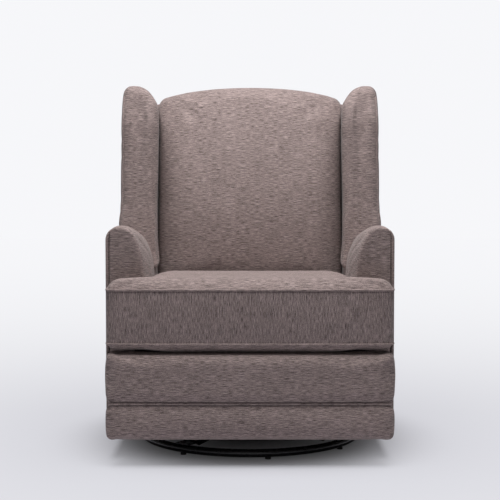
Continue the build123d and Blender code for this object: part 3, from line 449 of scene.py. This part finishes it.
class Graph:
    """The node tree of one material."""

    def __init__(self, name: str) -> None:
        """Start an empty material."""
        self.material = bpy.data.materials.new(name)
        self.material.use_nodes = True
        self.tree = self.material.node_tree
        self.tree.nodes.clear()

    def node(
        self,
        kind: str,
        settings: Optional[dict[str, Any]] = None,
        inputs: Optional[dict[Any, Any]] = None,
        output: Any = 0,
    ) -> Signal:
        """Add any node.

        Args:
            kind: Node type.
            settings: Properties of the node.
            inputs: Values or signals by socket name or number.
            output: Name or number of the socket to give back.

        Returns:
            The chosen output.
        """
        made = self.tree.nodes.new(kind)
        for key, value in (settings or {}).items():
            setattr(made, key, value)
        for key, value in (inputs or {}).items():
            if isinstance(value, Signal):
                self.tree.links.new(value.socket, made.inputs[key])
            else:
                made.inputs[key].default_value = value
        return Signal(self, made.outputs[output])

    def parts(self, vector: Signal) -> tuple[Signal, Signal, Signal]:
        """Split a vector into its three parts."""
        split = self.node("ShaderNodeSeparateXYZ", inputs={0: vector})
        return tuple(Signal(self, socket) for socket in split.socket.node.outputs)

    def place(self) -> tuple[Signal, Signal, Signal]:
        """Give the three object coordinates."""
        return self.parts(self.node("ShaderNodeTexCoord", output="Object"))

    def facing(self) -> tuple[Signal, Signal, Signal]:
        """Give which way the cloth faces, as written on the piece: across, forward and upward."""
        return self.parts(self.node("ShaderNodeAttribute", {"attribute_name": LAY}, output="Vector"))

    def noise(self, x: Any, y: Any, z: Any, detail: float = 2.0) -> Signal:
        """Give noise with cells of about one unit at a place."""
        spot = self.node("ShaderNodeCombineXYZ", inputs={0: x, 1: y, 2: z})
        return self.node("ShaderNodeTexNoise", inputs={"Vector": spot, "Scale": 1.0, "Detail": detail})

    def shade(self, low: Colour, high: Colour, share: Signal) -> Signal:
        """Go from one colour to another by a share."""
        factor, first, second, result = 0, 6, 7, 2
        settings = {"data_type": "RGBA", "blend_type": "MIX"}
        inputs = {factor: share, first: (*low, 1.0), second: (*high, 1.0)}
        return self.node("ShaderNodeMix", settings, inputs, result)

    def bump(self, height: Signal, strength: float, distance: float) -> Signal:
        """Turn a height into a bumped normal."""
        inputs = {"Height": height, "Strength": strength, "Distance": distance}
        return self.node("ShaderNodeBump", inputs=inputs)

    def close(self, **inputs: Any) -> bpy.types.Material:
        """End the material on a Principled shader with the given inputs."""
        titles = {key: key.replace("_", " ").title().replace("Ior", "IOR") for key in inputs}
        named = {titles[key]: value for key, value in inputs.items()}
        surface = self.node("ShaderNodeBsdfPrincipled", inputs=named)
        self.node_out(surface)
        return self.material

    def node_out(self, surface: Signal) -> None:
        """Send a shader to the material's output."""
        made = self.tree.nodes.new("ShaderNodeOutputMaterial")
        self.tree.links.new(surface.socket, made.inputs["Surface"])


@dataclass(frozen=True)
class Yarn:
    """One layer of threads: its cells per metre along and across the slubs, and its share of the tone."""

    along: float
    across: float
    offset: float
    detail: float
    share: float


@dataclass(frozen=True)
class Cloth:
    """Heathered slub weave: uneven threads along one way, finer ones across them."""

    name: str
    run: Run = Run.LEVEL
    dark: Colour = (0.074, 0.055, 0.051)
    light: Colour = (0.420, 0.330, 0.315)
    yarns: tuple[Yarn, ...] = (
        Yarn(70.0, 1200.0, 0.0, 2.0, 0.46),
        Yarn(24.0, 820.0, 7.0, 1.0, 0.26),
        Yarn(520.0, 620.0, 3.0, 1.0, 0.25),
        Yarn(9.0, 14.0, 5.0, 1.0, 0.03),
    )
    seeds: tuple[float, ...] = (1.0, 31.0, 61.0)
    top_turn: Span = (0.55, 0.75)
    side_turn: Span = (0.62, 0.82)
    tone_span: Span = (0.40, 0.60)
    weave_pitch: float = 3600.0
    weave_depth: float = 0.05

    def threads(self, graph: Graph, slow: Signal, fast: Signal, seed: float) -> Signal:
        """Lay threads that are long in one coordinate and thin in the other.

        Args:
            graph: Node tree.
            slow: Coordinate along the slubs, in metres.
            fast: Coordinate across the slubs, in metres.
            seed: Place in the noise.

        Returns:
            Lightness of the threads, near 0.5 on average.
        """
        layers = [
            graph.noise(slow * yarn.along, fast * yarn.across, seed + yarn.offset, yarn.detail) * yarn.share
            for yarn in self.yarns
        ]
        return sum(layers[1:], start=layers[0])

    def material(self) -> bpy.types.Material:
        """Build the cloth."""
        graph = Graph(self.name)
        x, y, z = graph.place()
        across, _, upward = graph.facing()
        ways = {"front": (x, z), "side": (y, z), "top": (x, y)}
        if self.run is Run.UPRIGHT:
            ways = {"front": (z, x), "side": (z, y), "top": (y, x)}
        laid = {way: self.threads(graph, *ways[way], seed) for way, seed in zip(ways, self.seeds)}
        value = laid["front"].blend(laid["top"], upward.ease(*self.top_turn))
        value = value.blend(laid["side"], across.ease(*self.side_turn))
        warp = (x * self.weave_pitch + y * 1700.0).sine()
        weft = (z * self.weave_pitch + y * 3100.0).sine()
        height = value + warp * weft * self.weave_depth
        return graph.close(
            base_color=graph.shade(self.dark, self.light, value.ease(*self.tone_span)),
            roughness=0.92,
            specular_ior_level=0.18,
            sheen_weight=0.12,
            sheen_roughness=0.5,
            normal=graph.bump(height, 0.40, 0.0012),
        )


@dataclass(frozen=True)
class Finish:
    """A hard finish with a fine grain."""

    name: str
    colour: Colour
    roughness: float
    metallic: float = 0.0
    coat: float = 0.0
    grain: float = 0.0
    spread: float = 0.12
    mottle_cells: float = 90.0
    grain_cells: float = 900.0

    def material(self) -> bpy.types.Material:
        """Build the finish, with a faint wandering of tone and gloss."""
        graph = Graph(self.name)
        x, y, z = graph.place()
        mottle = graph.noise(*(way * self.mottle_cells for way in (x, y, z)), 3.0)
        low = tuple(part * (1.0 - self.spread) for part in self.colour)
        high = tuple(min(1.0, part * (1.0 + self.spread)) for part in self.colour)
        inputs = {
            "base_color": graph.shade(low, high, mottle),
            "roughness": mottle * 0.10 + (self.roughness - 0.05),
            "metallic": self.metallic,
            "coat_weight": self.coat,
            "coat_roughness": 0.08,
        }
        if self.grain:
            fine = graph.noise(*(way * self.grain_cells for way in (x, y, z)), 2.0)
            inputs["normal"] = graph.bump(fine, self.grain, 0.0005)
        return graph.close(**inputs)


@dataclass(frozen=True)
class Timber:
    """Raw board with long grain."""

    name: str
    dark: Colour = (0.30, 0.18, 0.09)
    light: Colour = (0.62, 0.44, 0.26)
    cells_across: float = 160.0
    cells_along: float = 9.0

    def material(self) -> bpy.types.Material:
        """Build the board: stretched noise along its length."""
        graph = Graph(self.name)
        x, y, z = graph.place()
        grain = graph.noise(x * self.cells_across, y * self.cells_across, z * self.cells_along, 4.0)
        return graph.close(
            base_color=graph.shade(self.dark, self.light, grain.ease(0.3, 0.75)),
            roughness=0.7,
            normal=graph.bump(grain, 0.15, 0.001),
        )


@dataclass
class Palette:
    """Every finish of the chair, built once."""

    made: dict[str, bpy.types.Material] = field(default_factory=dict)

    def build(self) -> "Palette":
        """Build the finishes."""
        recipes = (
            Cloth("cloth_level"),
            # The same cloth with its slubs running upright and a shade darker: the darkening is painted
            # shade for the seat's front-facing band.
            Cloth("cloth_upright", Run.UPRIGHT, (0.070, 0.052, 0.049), (0.395, 0.312, 0.300)),
            # The same cloth much darker: painted shade for the footrest's stitch lines and for the boards
            # seen in the gaps.
            Cloth("cloth_seam", Run.LEVEL, (0.060, 0.045, 0.042), (0.200, 0.158, 0.150)),
            Finish("black_paint", (0.010, 0.010, 0.011), 0.26, coat=0.4),
            Finish("mechanism_steel", (0.028, 0.028, 0.030), 0.45, grain=0.1),
            Finish("zinc_steel", (0.55, 0.55, 0.57), 0.34, metallic=1.0, grain=0.05),
            Finish("spring_steel", (0.30, 0.30, 0.31), 0.40, metallic=1.0),
            Finish("glide_plastic", (0.016, 0.016, 0.017), 0.55, grain=0.2),
            Finish("stop_rubber", (0.020, 0.020, 0.020), 0.80, grain=0.3),
            Timber("frame_wood"),
        )
        self.made = {recipe.name: recipe.material() for recipe in recipes}
        return self

    def dress(self, obj: bpy.types.Object, *names: str) -> None:
        """Put finishes on an object, one per slot."""
        obj.data.materials.clear()
        for name in names:
            obj.data.materials.append(self.made[name])


@dataclass
class SoftPiece:
    """Shared dressing of the soft pieces of one body."""

    palette: Palette
    body: str

    def settle(
        self,
        obj: bpy.types.Object,
        finishes: Sequence[str],
        replaced: Sequence[str] = (),
        fill: float = 0.0,
    ) -> None:
        """Finish a piece: cloth, the body that it rides on and what it stands for.

        Args:
            obj: The piece.
            finishes: Names of its finishes.
            replaced: CAD nodes that it stands for.
            fill: How full a padded piece is, or 0 for a piece with no padding; not used.
        """
        self.palette.dress(obj, *finishes)
        write_lay(obj)
        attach(obj, self.body)
        if replaced:
            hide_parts(*replaced)
        log.info("%s: %d points", obj.name, len(obj.data.vertices))

    def cord(
        self,
        name: str,
        on: bpy.types.Object,
        path: Array,
        width: float,
        height: float,
        lift: float,
        finish: str = "cloth_level",
        replaced: Sequence[str] = (),
    ) -> None:
        """Sew a welt or seam along a path on another piece.

        Args:
            name: Name of the cord.
            on: Piece that it is sewn to.
            path: Path near that piece's surface.
            width: Half width of the cord.
            height: Half height of the cord.
            lift: How far its middle stands off the surface.
            finish: Its finish.
            replaced: CAD nodes that it stands for.
        """
        spots, normals = snapped(on, path)
        normals /= np.linalg.norm(normals, axis=1, keepdims=True)
        skin = Skin.tube(spots + lift * normals, normals, width, height)
        self.settle(skin.piece(name), (finish,), replaced)


@dataclass
class SeatCushion(SoftPiece):
    """T-shaped loose cushion with a boxed front band between two welts."""

    front: float = -0.400
    back: float = 0.094
    low: float = 0.298
    high: float = 0.472
    waist: float = 0.279
    ear: float = 0.369
    ear_back: float = -0.312
    ear_round: float = 0.028
    ear_nick: float = 0.012
    pitch: float = 0.006
    crown: float = 0.005
    ear_crown: float = 0.009
    rear_fall: float = 0.010
    ear_fall: float = 0.014
    welt_top: float = 0.455
    welt_low: float = 0.316
    welt_radius: float = 0.0034
    welt_lift: float = 0.0008
    welt_hold: float = 0.006
    band_tilt: float = 0.55

    def outline(self, height: float, count: int = 420) -> Array:
        """Walk round the front of the T at one height, from one waist over both ears to the other."""
        turn = np.linspace(0.0, math.pi / 2.0, 8)
        arc = self.ear_round * np.stack([np.cos(turn), np.sin(turn)], axis=1)
        corner = np.array((-self.ear + self.ear_round, self.front + self.ear_round)) - arc
        back, nick = self.ear_back, self.ear_nick
        neck = np.array([(-self.waist - 0.01, back), (-self.ear + nick, back), (-self.ear, back - nick)])
        half = np.concatenate([neck, corner])
        flat = at_even_steps(np.concatenate([half, half[::-1] * np.array((-1.0, 1.0))]), count)
        return np.concatenate([flat, np.full((count, 1), height)], axis=1)

    def build(self) -> None:
        """Fill the cushion, then sew the welts on."""
        skins = [
            Skin.block((-half, self.front, self.low), (half, back, self.high), edge, self.pitch)
            for half, back, edge in ((self.ear, self.ear_back, 0.026), (self.waist, self.back, 0.016))
        ]
        skin = Skin.joined(skins)
        x, y, z = skin.points.T
        crown = self.crown + self.ear_crown * ease(np.abs(x), 0.24, 0.30) * ease(-y, 0.28, 0.33)
        fall = self.rear_fall * ease(y, -0.20, 0.08) + self.ear_fall * ease(np.abs(x), 0.31, 0.375) ** 2
        skin.points[:, 2] += (crown - fall) * ease(z, 0.42, 0.47)
        cover = skin.piece("seat_cushion_cover")
        Stuffing(travel=0.008).stuff(cover, self.held)
        middles, normals = read_faces(cover)
        between = (middles[:, 2] > self.welt_low) & (middles[:, 2] < self.welt_top)
        band = (np.abs(normals[:, 2]) < self.band_tilt) & between
        self.settle(cover, ("cloth_level", "cloth_upright"), ("seat_cushion",), fill=0.85)
        # The band faces take the darker upright cloth, painted shade of the front-facing band.
        cover.data.polygons.foreach_set("material_index", band.astype(np.int32))
        welt = (self.welt_radius, self.welt_radius, self.welt_lift)
        upper, lower = self.outline(self.welt_top), self.outline(self.welt_low)
        self.cord("seat_welt_upper", cover, upper, *welt, replaced=("seat_welt_top",))
        self.cord("seat_welt_lower", cover, lower, *welt, replaced=("seat_welt_bottom",))

    def held(self, points: Array) -> Array:
        """Hold the lines of the two welts."""
        z, hold = points[:, 2], self.welt_hold
        return (np.abs(z - self.welt_top) < hold) | (np.abs(z - self.welt_low) < hold)


@dataclass
class BackPad(SoftPiece):
    """Arched, crowned pad between the wings."""

    half: float = 0.281
    foot: float = 0.040
    crest: float = 0.680
    rear: float = 0.056
    front: float = 0.178
    fullest: float = 0.30
    arch: float = 0.032
    upper_bow: float = 0.050
    lower_bow: float = 0.022
    belly: float = 0.020
    edge_roll: float = 0.014
    hold: float = 0.075

    def build(self) -> None:
        """Fill the pad in the back's own leaning frame, then stand it up."""
        depth = self.front - self.rear
        low, high = (-self.half, self.foot, self.rear), (self.half, self.crest, self.front)
        skin = Skin.block(low, high, 0.030, 0.007)
        x, up, out = skin.points.T
        arch = -self.arch * (x / self.half) ** 2 * ease(up, 0.35, self.crest)
        above, below = ((up - self.fullest) / 0.36) ** 2, ((up - self.fullest) / 0.26) ** 2
        bow = np.where(up > self.fullest, -self.upper_bow * above, -self.lower_bow * below)
        thin = 1.0 + bow / depth
        face = ease(out, 0.10, 0.18)
        belly = self.belly * (1.0 - np.abs(x / self.half) ** 3) * face * ease(up, -0.08, 0.28)
        belly -= self.edge_roll * ease(np.abs(x), 0.17, self.half) ** 2 * face
        x = x * (1.0 + 0.010 * ease(self.fullest - up, 0.0, 0.06) + 0.030 * ease(up, 0.50, 0.62))
        reach = self.rear - 0.047 * ease(up, 0.600, 0.640)
        out = reach + (self.rear - reach + depth * thin) * (out - self.rear) / depth + belly
        cover = Skin(on_back(x, up + arch, out), skin.faces).piece("back_pad_cover")
        Stuffing(travel=0.007, pressure=3.0, calm=8).stuff(cover, self.held, smooth=5)
        self.settle(cover, ("cloth_level",), ("back_pad",), fill=0.8)

    def held(self, points: Array) -> Array:
        """Hold the rear of the pad, which rests on the frame."""
        return (points - BACK_FOOT) @ BACK_OUT < self.hold


@dataclass
class Wings(SoftPiece):
    """Upright bolsters beside the back, cut as a front outline carried back to the frame."""

    knots: tuple[Span, ...] = (
        (0.2680, 0.478), (0.2715, 0.52), (0.2745, 0.60), (0.2750, 0.80), (0.2755, 0.950),
        (0.2820, 0.978), (0.2915, 0.9945), (0.303, 1.0095), (0.324, 1.0215), (0.345, 1.0245),
        (0.364, 1.0215), (0.3745, 1.007), (0.3760, 0.978), (0.3760, 0.80), (0.3760, 0.620),
        (0.3758, 0.6030), (0.3735, 0.5940), (0.3640, 0.5905), (0.352, 0.5900), (0.338, 0.588),
        (0.322, 0.580), (0.308, 0.562), (0.297, 0.538), (0.289, 0.508), (0.284, 0.480),
    )
    outer: float = 0.376
    depth: float = 0.30
    round_off: float = 0.030
    crest_fall: float = 0.034
    rear_lift: float = 0.005
    tuck: float = 0.012
    seam_span: Span = (0.606, 0.985)
    seam_points: int = 160
    seam_radius: float = 0.0024
    hold: float = 0.030

    def front_at(self, height: Array) -> Array:
        """Give how far forward the wing stands at a height."""
        return 0.054 + 0.030 * (height - 0.63) / 0.285 + 0.030 * ease(height, 0.90, 1.03)

    def rear_at(self, height: Array) -> Array:
        """Give where the wing meets the leaning frame at a height."""
        return 0.264 + math.tan(LEAN) * (height - BACK_FOOT[2])

    def rings(self) -> Array:
        """Carry the outline from front to rear, rounded off towards the front."""
        outline = closed_curve(self.knots, 260)[::-1]
        share = np.concatenate([(0.0, 0.004, 0.015, 0.032, 0.055, 0.085), np.linspace(0.12, 1.0, 30)])
        left = np.clip(1.0 - share * self.depth / self.round_off, 0.0, 1.0)
        shrink = self.round_off * (1.0 - np.sqrt(1.0 - left**2)) * 0.92
        rings = []
        for part, amount in zip(share, shrink):
            x, z = inset(outline, amount * ease(outline[:, 1], 0.600, 0.70)).T
            y = self.front_at(z) * (1.0 - part) + self.rear_at(z) * part
            fall = self.crest_fall * part**2 * ease(z, 0.88, 1.02)
            fall = fall - self.rear_lift * part * ease(0.66 - z, 0.0, 0.05)
            tuck = self.tuck * ease(np.array(part), 0.10, 0.32) * ease(0.325 - x, 0.0, 0.03)
            rings.append(np.stack([x + tuck, y, z - fall], axis=1))
        return np.array(rings)

    def build(self) -> None:
        """Fill the right wing, copy it to the left, and sew the outer seams on."""
        cover = Skin.loft(self.rings()).piece("wing_right_cover")
        Stuffing(voxel=0.008, travel=0.007).stuff(cover, self.held)
        twin = mirrored_copy(cover, "wing_left_cover")
        self.settle(cover, ("cloth_level",), ("wing_right",), fill=0.8)
        self.settle(twin, ("cloth_level",), ("wing_left",), fill=0.8)
        up = np.linspace(*self.seam_span, self.seam_points)
        rise = np.stack([np.full(len(up), self.outer), self.front_at(up) + 0.018, up], axis=1)
        for piece, path in ((cover, rise), (twin, rise * OTHER_HAND)):
            name = piece.name.replace("cover", "seam")
            self.cord(name, piece, path, self.seam_radius, self.seam_radius, 0.0008)

    def held(self, points: Array) -> Array:
        """Hold the rear of the wing, which is tacked to the back's frame."""
        return (points - BACK_FOOT) @ BACK_OUT < self.hold


@dataclass
class Arms(SoftPiece):
    """Padded arms with a flat front face, a rounded inner top and a boarded outer side."""

    knots: tuple[Span, ...] = (
        (0.3020, 0.088), (0.3020, 0.115), (0.3020, 0.30), (0.3020, 0.340), (0.2985, 0.352),
        (0.2850, 0.3545), (0.2765, 0.360), (0.2738, 0.376), (0.2732, 0.42), (0.2730, 0.47),
        (0.278, 0.530), (0.287, 0.566), (0.303, 0.599), (0.319, 0.6125), (0.335, 0.6170),
        (0.353, 0.6155), (0.3655, 0.606), (0.3690, 0.588), (0.3690, 0.40), (0.3690, 0.115),
        (0.3690, 0.088), (0.3660, 0.079), (0.357, 0.076), (0.340, 0.076), (0.325, 0.076),
        (0.313, 0.076), (0.3050, 0.079),
    )
    front: float = -0.310
    rear: float = 0.298
    top_fall: float = 0.050
    rear_round: float = 0.016
    splay: float = 0.015
    panel_span: Span = (0.3692, 0.3778)
    panel_low: float = 0.074
    panel_high: float = 0.606
    panel_edge: float = 0.0040

    def drop(self, y: Array, z: Array) -> Array:
        """Give how far the arm's top has fallen at a depth and height."""
        return -self.top_fall * (y - self.front) / (self.rear - self.front) * ease(z, 0.35, 0.60)

    def rings(self) -> Array:
        """Carry the arm's outline from front to rear, swelling behind the seam of its front face."""
        outline = closed_curve(self.knots, 260)[::-1]
        along = np.concatenate([
            self.front + np.array((0.0, 0.0015, 0.004, 0.009, 0.016, 0.026, 0.040, 0.060)),
            np.linspace(self.front + 0.09, self.rear - 0.03, 40),
            self.rear - np.array((0.018, 0.010, 0.004, 0.001, 0.0)),
        ])
        swell = self.front + np.array((0.0, 0.004, 0.016, 0.05))
        deep = np.interp(along, swell, (0.007, 0.004, 0.0005, -0.005))
        deep += self.rear_round * ease(along, self.rear - 0.022, self.rear)
        padded = ease(0.368 - outline[:, 0], 0.0, 0.03)
        rings = []
        for y, amount in zip(along, deep):
            x, z = inset(outline, amount * (0.20 + 0.80 * padded)).T
            splay = self.splay * ease(y, -0.20, 0.06) * ease(0.34 - x, 0.0, 0.06)
            rings.append(np.stack([x + splay, np.full(len(x), y), z + self.drop(y, z)], axis=1))
        return np.array(rings)

    def build(self) -> None:
        """Fill the right arm, add its outer panel, and copy both to the left."""
        cover = Skin.loft(self.rings()).piece("arm_right_cover")
        Stuffing(voxel=0.008, travel=0.006).stuff(cover, self.held, smooth=2)
        inner, outer = self.panel_span
        low, high = (inner, self.front - 0.001, self.panel_low), (outer, self.rear, self.panel_high)
        panel = Skin.block(low, high, self.panel_edge, 0.006)
        _, y, z = panel.points.T
        panel.points[:, 0] -= 0.012 * ease(z, 0.575, 0.612) ** 2
        panel.points[:, 2] += self.drop(y, z)
        board = panel.piece("side_panel_right_cover")
        twins = (mirrored_copy(cover, "arm_left_cover"), mirrored_copy(board, "side_panel_left_cover"))
        for side, (pad, side_board) in ((Side.RIGHT, (cover, board)), (Side.LEFT, twins)):
            self.settle(pad, ("cloth_level",), (f"arm_pad_{side.value}",), fill=0.7)
            self.settle(side_board, ("cloth_level",), (f"side_panel_{side.value}",))

    def held(self, points: Array) -> Array:
        """Hold the flat front face, the part below the seat and the outer side."""
        x, y, z = np.abs(points[:, 0]), points[:, 1], points[:, 2]
        return (y < self.front + 0.010) | (x > 0.362) | (z < 0.37) | (y > self.rear - 0.01)


@dataclass
class Footrest(SoftPiece):
    """Footrest pad in two stuffed sections with a double seam between."""

    low: Point = (-0.370, -0.407, 0.068)
    high: Point = (0.370, -0.3525, 0.297)
    edge: float = 0.017
    seam: float = 0.164
    seam_half: float = 0.366
    seam_points: int = 300
    stitch_step: float = 0.0046

    def build(self) -> None:
        """Fill both sections, held along the seam between them."""
        skin = Skin.block(self.low, self.high, self.edge, 0.005)
        x, y, z = skin.points.T
        pinch = ridge(z, self.seam, 0.011)
        forward = ease(-y, 0.36, 0.40)
        placed = np.stack([x * (1.0 - 0.018 * pinch), y + 0.010 * pinch * forward, z], axis=1)
        cover = Skin(placed, skin.faces).piece("footrest_cover")
        Stuffing(voxel=0.008, travel=0.007).stuff(cover, self.held, smooth=2)
        self.settle(cover, ("cloth_level",), ("footrest_pad",), fill=0.8)
        across = np.linspace(-self.seam_half, self.seam_half, self.seam_points)
        path = np.stack([across, np.full(len(across), -0.402), np.full(len(across), self.seam)], axis=1)
        self.cord("footrest_seam", cover, path, 0.0030, 0.0024, 0.0016)
        for name, step in (("upper", self.stitch_step), ("lower", -self.stitch_step)):
            line = path + np.array((0.0, 0.0, step))
            # The stitch lines take the darker cloth: painted shade in the seam groove.
            self.cord(f"footrest_stitch_{name}", cover, line, 0.0011, 0.0009, 0.0004, "cloth_seam")

    def held(self, points: Array) -> Array:
        """Hold the seam between the sections and the rear, which rests on the board."""
        return (np.abs(points[:, 2] - self.seam) < 0.006) | (points[:, 1] > -0.360)


@dataclass
class OuterBack(SoftPiece):
    """Cloth-covered panel over the rear of the back and wings, narrower between the arms."""

    thick: float = 0.0078
    edge: float = 0.0037
    low_half: float = 0.2820
    high_half: float = 0.3740
    foot: float = 0.002
    step: float = 0.256
    lap: float = 0.02
    crest: float = 0.690
    rise: float = 0.042
    rise_half: float = 0.30
    shoulder: float = 0.030
    welt_radius: float = 0.0026

    def arch(self, x: Array, up: Array) -> Array:
        """Give how far the top edge falls away from the middle towards the rounded shoulders."""
        start, end = self.high_half - self.shoulder, self.high_half + 0.004
        shoulder = self.shoulder * ease(np.abs(x), start, end) ** 2
        bend = self.rise * (np.minimum(np.abs(x), self.rise_half) / self.rise_half) ** 2
        return -(bend + shoulder) * ease(up, 0.40, self.crest)

    def build(self) -> None:
        """Build the wide upper part and the narrow lower part as one panel."""
        parts = [
            Skin.block((-half, foot, 0.0), (half, top, self.thick), self.edge, 0.008)
            for half, foot, top in (
                (self.high_half, self.step, self.crest),
                (self.low_half, self.foot, self.step + self.lap),
            )
        ]
        skin = Skin.joined(parts)
        x, up, out = skin.points.T
        panel = Skin(on_back(x, up + self.arch(x, up), out), skin.faces).piece("outer_back_cover")
        self.settle(panel, ("cloth_level",), ("back_panel",))
        self.cord("outer_back_welt", panel, self.border(), self.welt_radius, self.welt_radius, 0.0006)

    def border(self) -> Array:
        """Walk up one side of the wide part, over the arch and down the other side, near its rear edge."""
        edge, top = self.high_half - 0.002, self.crest - 0.002
        over = np.linspace(-edge, edge, 220)
        rise = np.linspace(self.step + 0.004, top, 120)
        x = np.concatenate([np.full(len(rise) - 1, -edge), over, np.full(len(rise) - 1, edge)])
        up = np.concatenate([rise[:-1], np.full(len(over), top), rise[-2::-1]])
        return on_back(x, up + self.arch(x, up), np.zeros(len(x)))


@dataclass
class LowerRear(SoftPiece):
    """Cloth-covered panel between the arms, under the back."""

    low: Point = (-0.2995, 0.2500, 0.0765)
    high: Point = (0.2995, 0.2618, 0.3195)
    edge: float = 0.005

    def build(self) -> None:
        """Build the panel."""
        panel = Skin.block(self.low, self.high, self.edge, 0.008).piece("rear_panel_cover")
        self.settle(panel, ("cloth_level",), ("rear_panel",))


@dataclass
class Hardware:
    """The CAD pieces that show as they are."""

    palette: Palette
    # Boards that peep out in the gaps between the soft pieces; they take the darker cloth as painted shade.
    shaded_boards: tuple[str, ...] = (
        "front_seat_rail",
        "rear_seat_rail",
        "back_bottom_rail",
        "footrest_board",
        "arm_frame_left",
        "arm_frame_right",
    )

    def build(self) -> None:
        """Give each shown CAD node the finish of its material slot, and wrap the boards that peep out in
        the darker cloth, painted shade of the gaps they show in.
        """
        slots = {row["node"]: row["material_slot"] for row in frame["record"]["subparts"]}
        # The boards seen in the gaps take the darker cloth: painted shade.
        slots |= {node: "cloth_seam" for node in self.shaded_boards}
        shown = {node: finish for node, finish in slots.items() if finish in self.palette.made}
        for node, finish in shown.items():
            self.palette.dress(frame["nodes"][node], finish)
        log.info("dressed %d CAD nodes", len(shown))


@dataclass(frozen=True)
class Lamp:
    """One square soft light: where it hangs, what it points at, its edge length and its watts."""

    name: str
    place: Point
    aim: Point
    size: float
    power: float

    def hang(self) -> None:
        """Put the light into the scene."""
        data = bpy.data.lights.new(self.name, "AREA")
        data.shape = "SQUARE"
        data.size = self.size
        data.energy = self.power
        obj = linked(self.name, data)
        obj.location = self.place
        obj.rotation_euler = (Vector(self.aim) - Vector(self.place)).to_track_quat("-Z", "Y").to_euler()


@dataclass
class Studio:
    """Camera, light, floor and background."""

    paper: Colour = (0.925, 0.928, 0.952)
    floor: Colour = (0.662, 0.662, 0.712)
    sky: Colour = (0.98, 0.98, 1.0)
    sky_strength: float = 0.07
    eye: Point = (0.0, -3.412, 0.710)
    dip: float = 2.9
    lens: float = 85.7
    sensor: float = 36.0
    reach: float = 14.0
    fade: float = 2.0
    glow_span: Span = (0.30, 0.62)
    glow_share: float = 0.85
    lamps: tuple[Lamp, ...] = (
        Lamp("key", (0.0, -0.55, 2.75), (0.0, 0.0, 0.6), 2.2, 98.0),
        Lamp("fill", (0.0, -4.2, 1.6), (0.0, 0.0, 0.5), 3.0, 3.2),
    )

    def camera(self) -> None:
        """Stand the camera in front of the chair, a little above the arms."""
        data = bpy.data.cameras.new("camera")
        data.lens = self.lens
        data.sensor_width = self.sensor
        data.clip_end = 60.0
        obj = linked("camera", data)
        obj.location = self.eye
        obj.rotation_euler = (math.radians(90.0 - self.dip), 0.0, 0.0)
        bpy.context.scene.camera = obj

    def world(self) -> None:
        """Show plain pale paper to the camera and soft light to everything else."""
        world = bpy.data.worlds.new("studio")
        world.use_nodes = True
        bpy.context.scene.world = world
        tree = world.node_tree
        tree.nodes.clear()
        light, paper = tree.nodes.new("ShaderNodeBackground"), tree.nodes.new("ShaderNodeBackground")
        light.inputs["Color"].default_value = (*self.sky, 1.0)
        light.inputs["Strength"].default_value = self.sky_strength
        paper.inputs["Color"].default_value = (*self.paper, 1.0)
        ray, mix = tree.nodes.new("ShaderNodeLightPath"), tree.nodes.new("ShaderNodeMixShader")
        out = tree.nodes.new("ShaderNodeOutputWorld")
        sources = (ray.outputs["Is Camera Ray"], light.outputs[0], paper.outputs[0])
        for number, source in enumerate(sources):
            tree.links.new(source, mix.inputs[number])
        tree.links.new(mix.outputs[0], out.inputs["Surface"])

    def ground(self) -> None:
        """Lay a floor that keeps the shadow and fades into the paper with distance."""
        corners = np.array([(-1.0, -1.0, 0.0), (1.0, -1.0, 0.0), (1.0, 1.0, 0.0), (-1.0, 1.0, 0.0)])
        floor = Skin(self.reach * corners, np.array([[0, 1, 2, 3]])).piece("floor")
        graph = Graph("floor_paper")
        x, y, _ = graph.place()
        square = x * x + y * y
        seen = graph.node("ShaderNodeLightPath", output="Is Camera Ray")
        share = square / (square + self.fade) * seen
        level = square.root().ease(*self.glow_span) * self.glow_share
        lit = graph.node("ShaderNodeBsdfDiffuse", inputs={"Color": (*self.floor, 1.0)})
        even, glow = (
            graph.node("ShaderNodeEmission", inputs={"Color": (*colour, 1.0), "Strength": 1.0})
            for colour in (self.floor, self.paper)
        )
        matt = graph.node("ShaderNodeMixShader", inputs={0: seen * level, 1: lit, 2: even})
        graph.node_out(graph.node("ShaderNodeMixShader", inputs={0: share, 1: matt, 2: glow}))
        floor.data.materials.append(graph.material)

    def build(self) -> None:
        """Set everything up."""
        self.camera()
        self.world()
        self.ground()
        for lamp in self.lamps:
            lamp.hang()
        bpy.context.scene.view_settings.view_transform = "Standard"
        log.info("studio set")


def main() -> None:
    """Build the chair's looks piece by piece."""
    logging.basicConfig(level=logging.INFO, format="%(message)s")
    palette = Palette().build()
    Hardware(palette).build()
    SeatCushion(palette, "chassis").build()
    BackPad(palette, "back").build()
    Wings(palette, "back").build()
    Arms(palette, "chassis").build()
    Footrest(palette, "footrest").build()
    OuterBack(palette, "back").build()
    LowerRear(palette, "chassis").build()
    Studio().build()


if __name__ == "__main__":
    main()
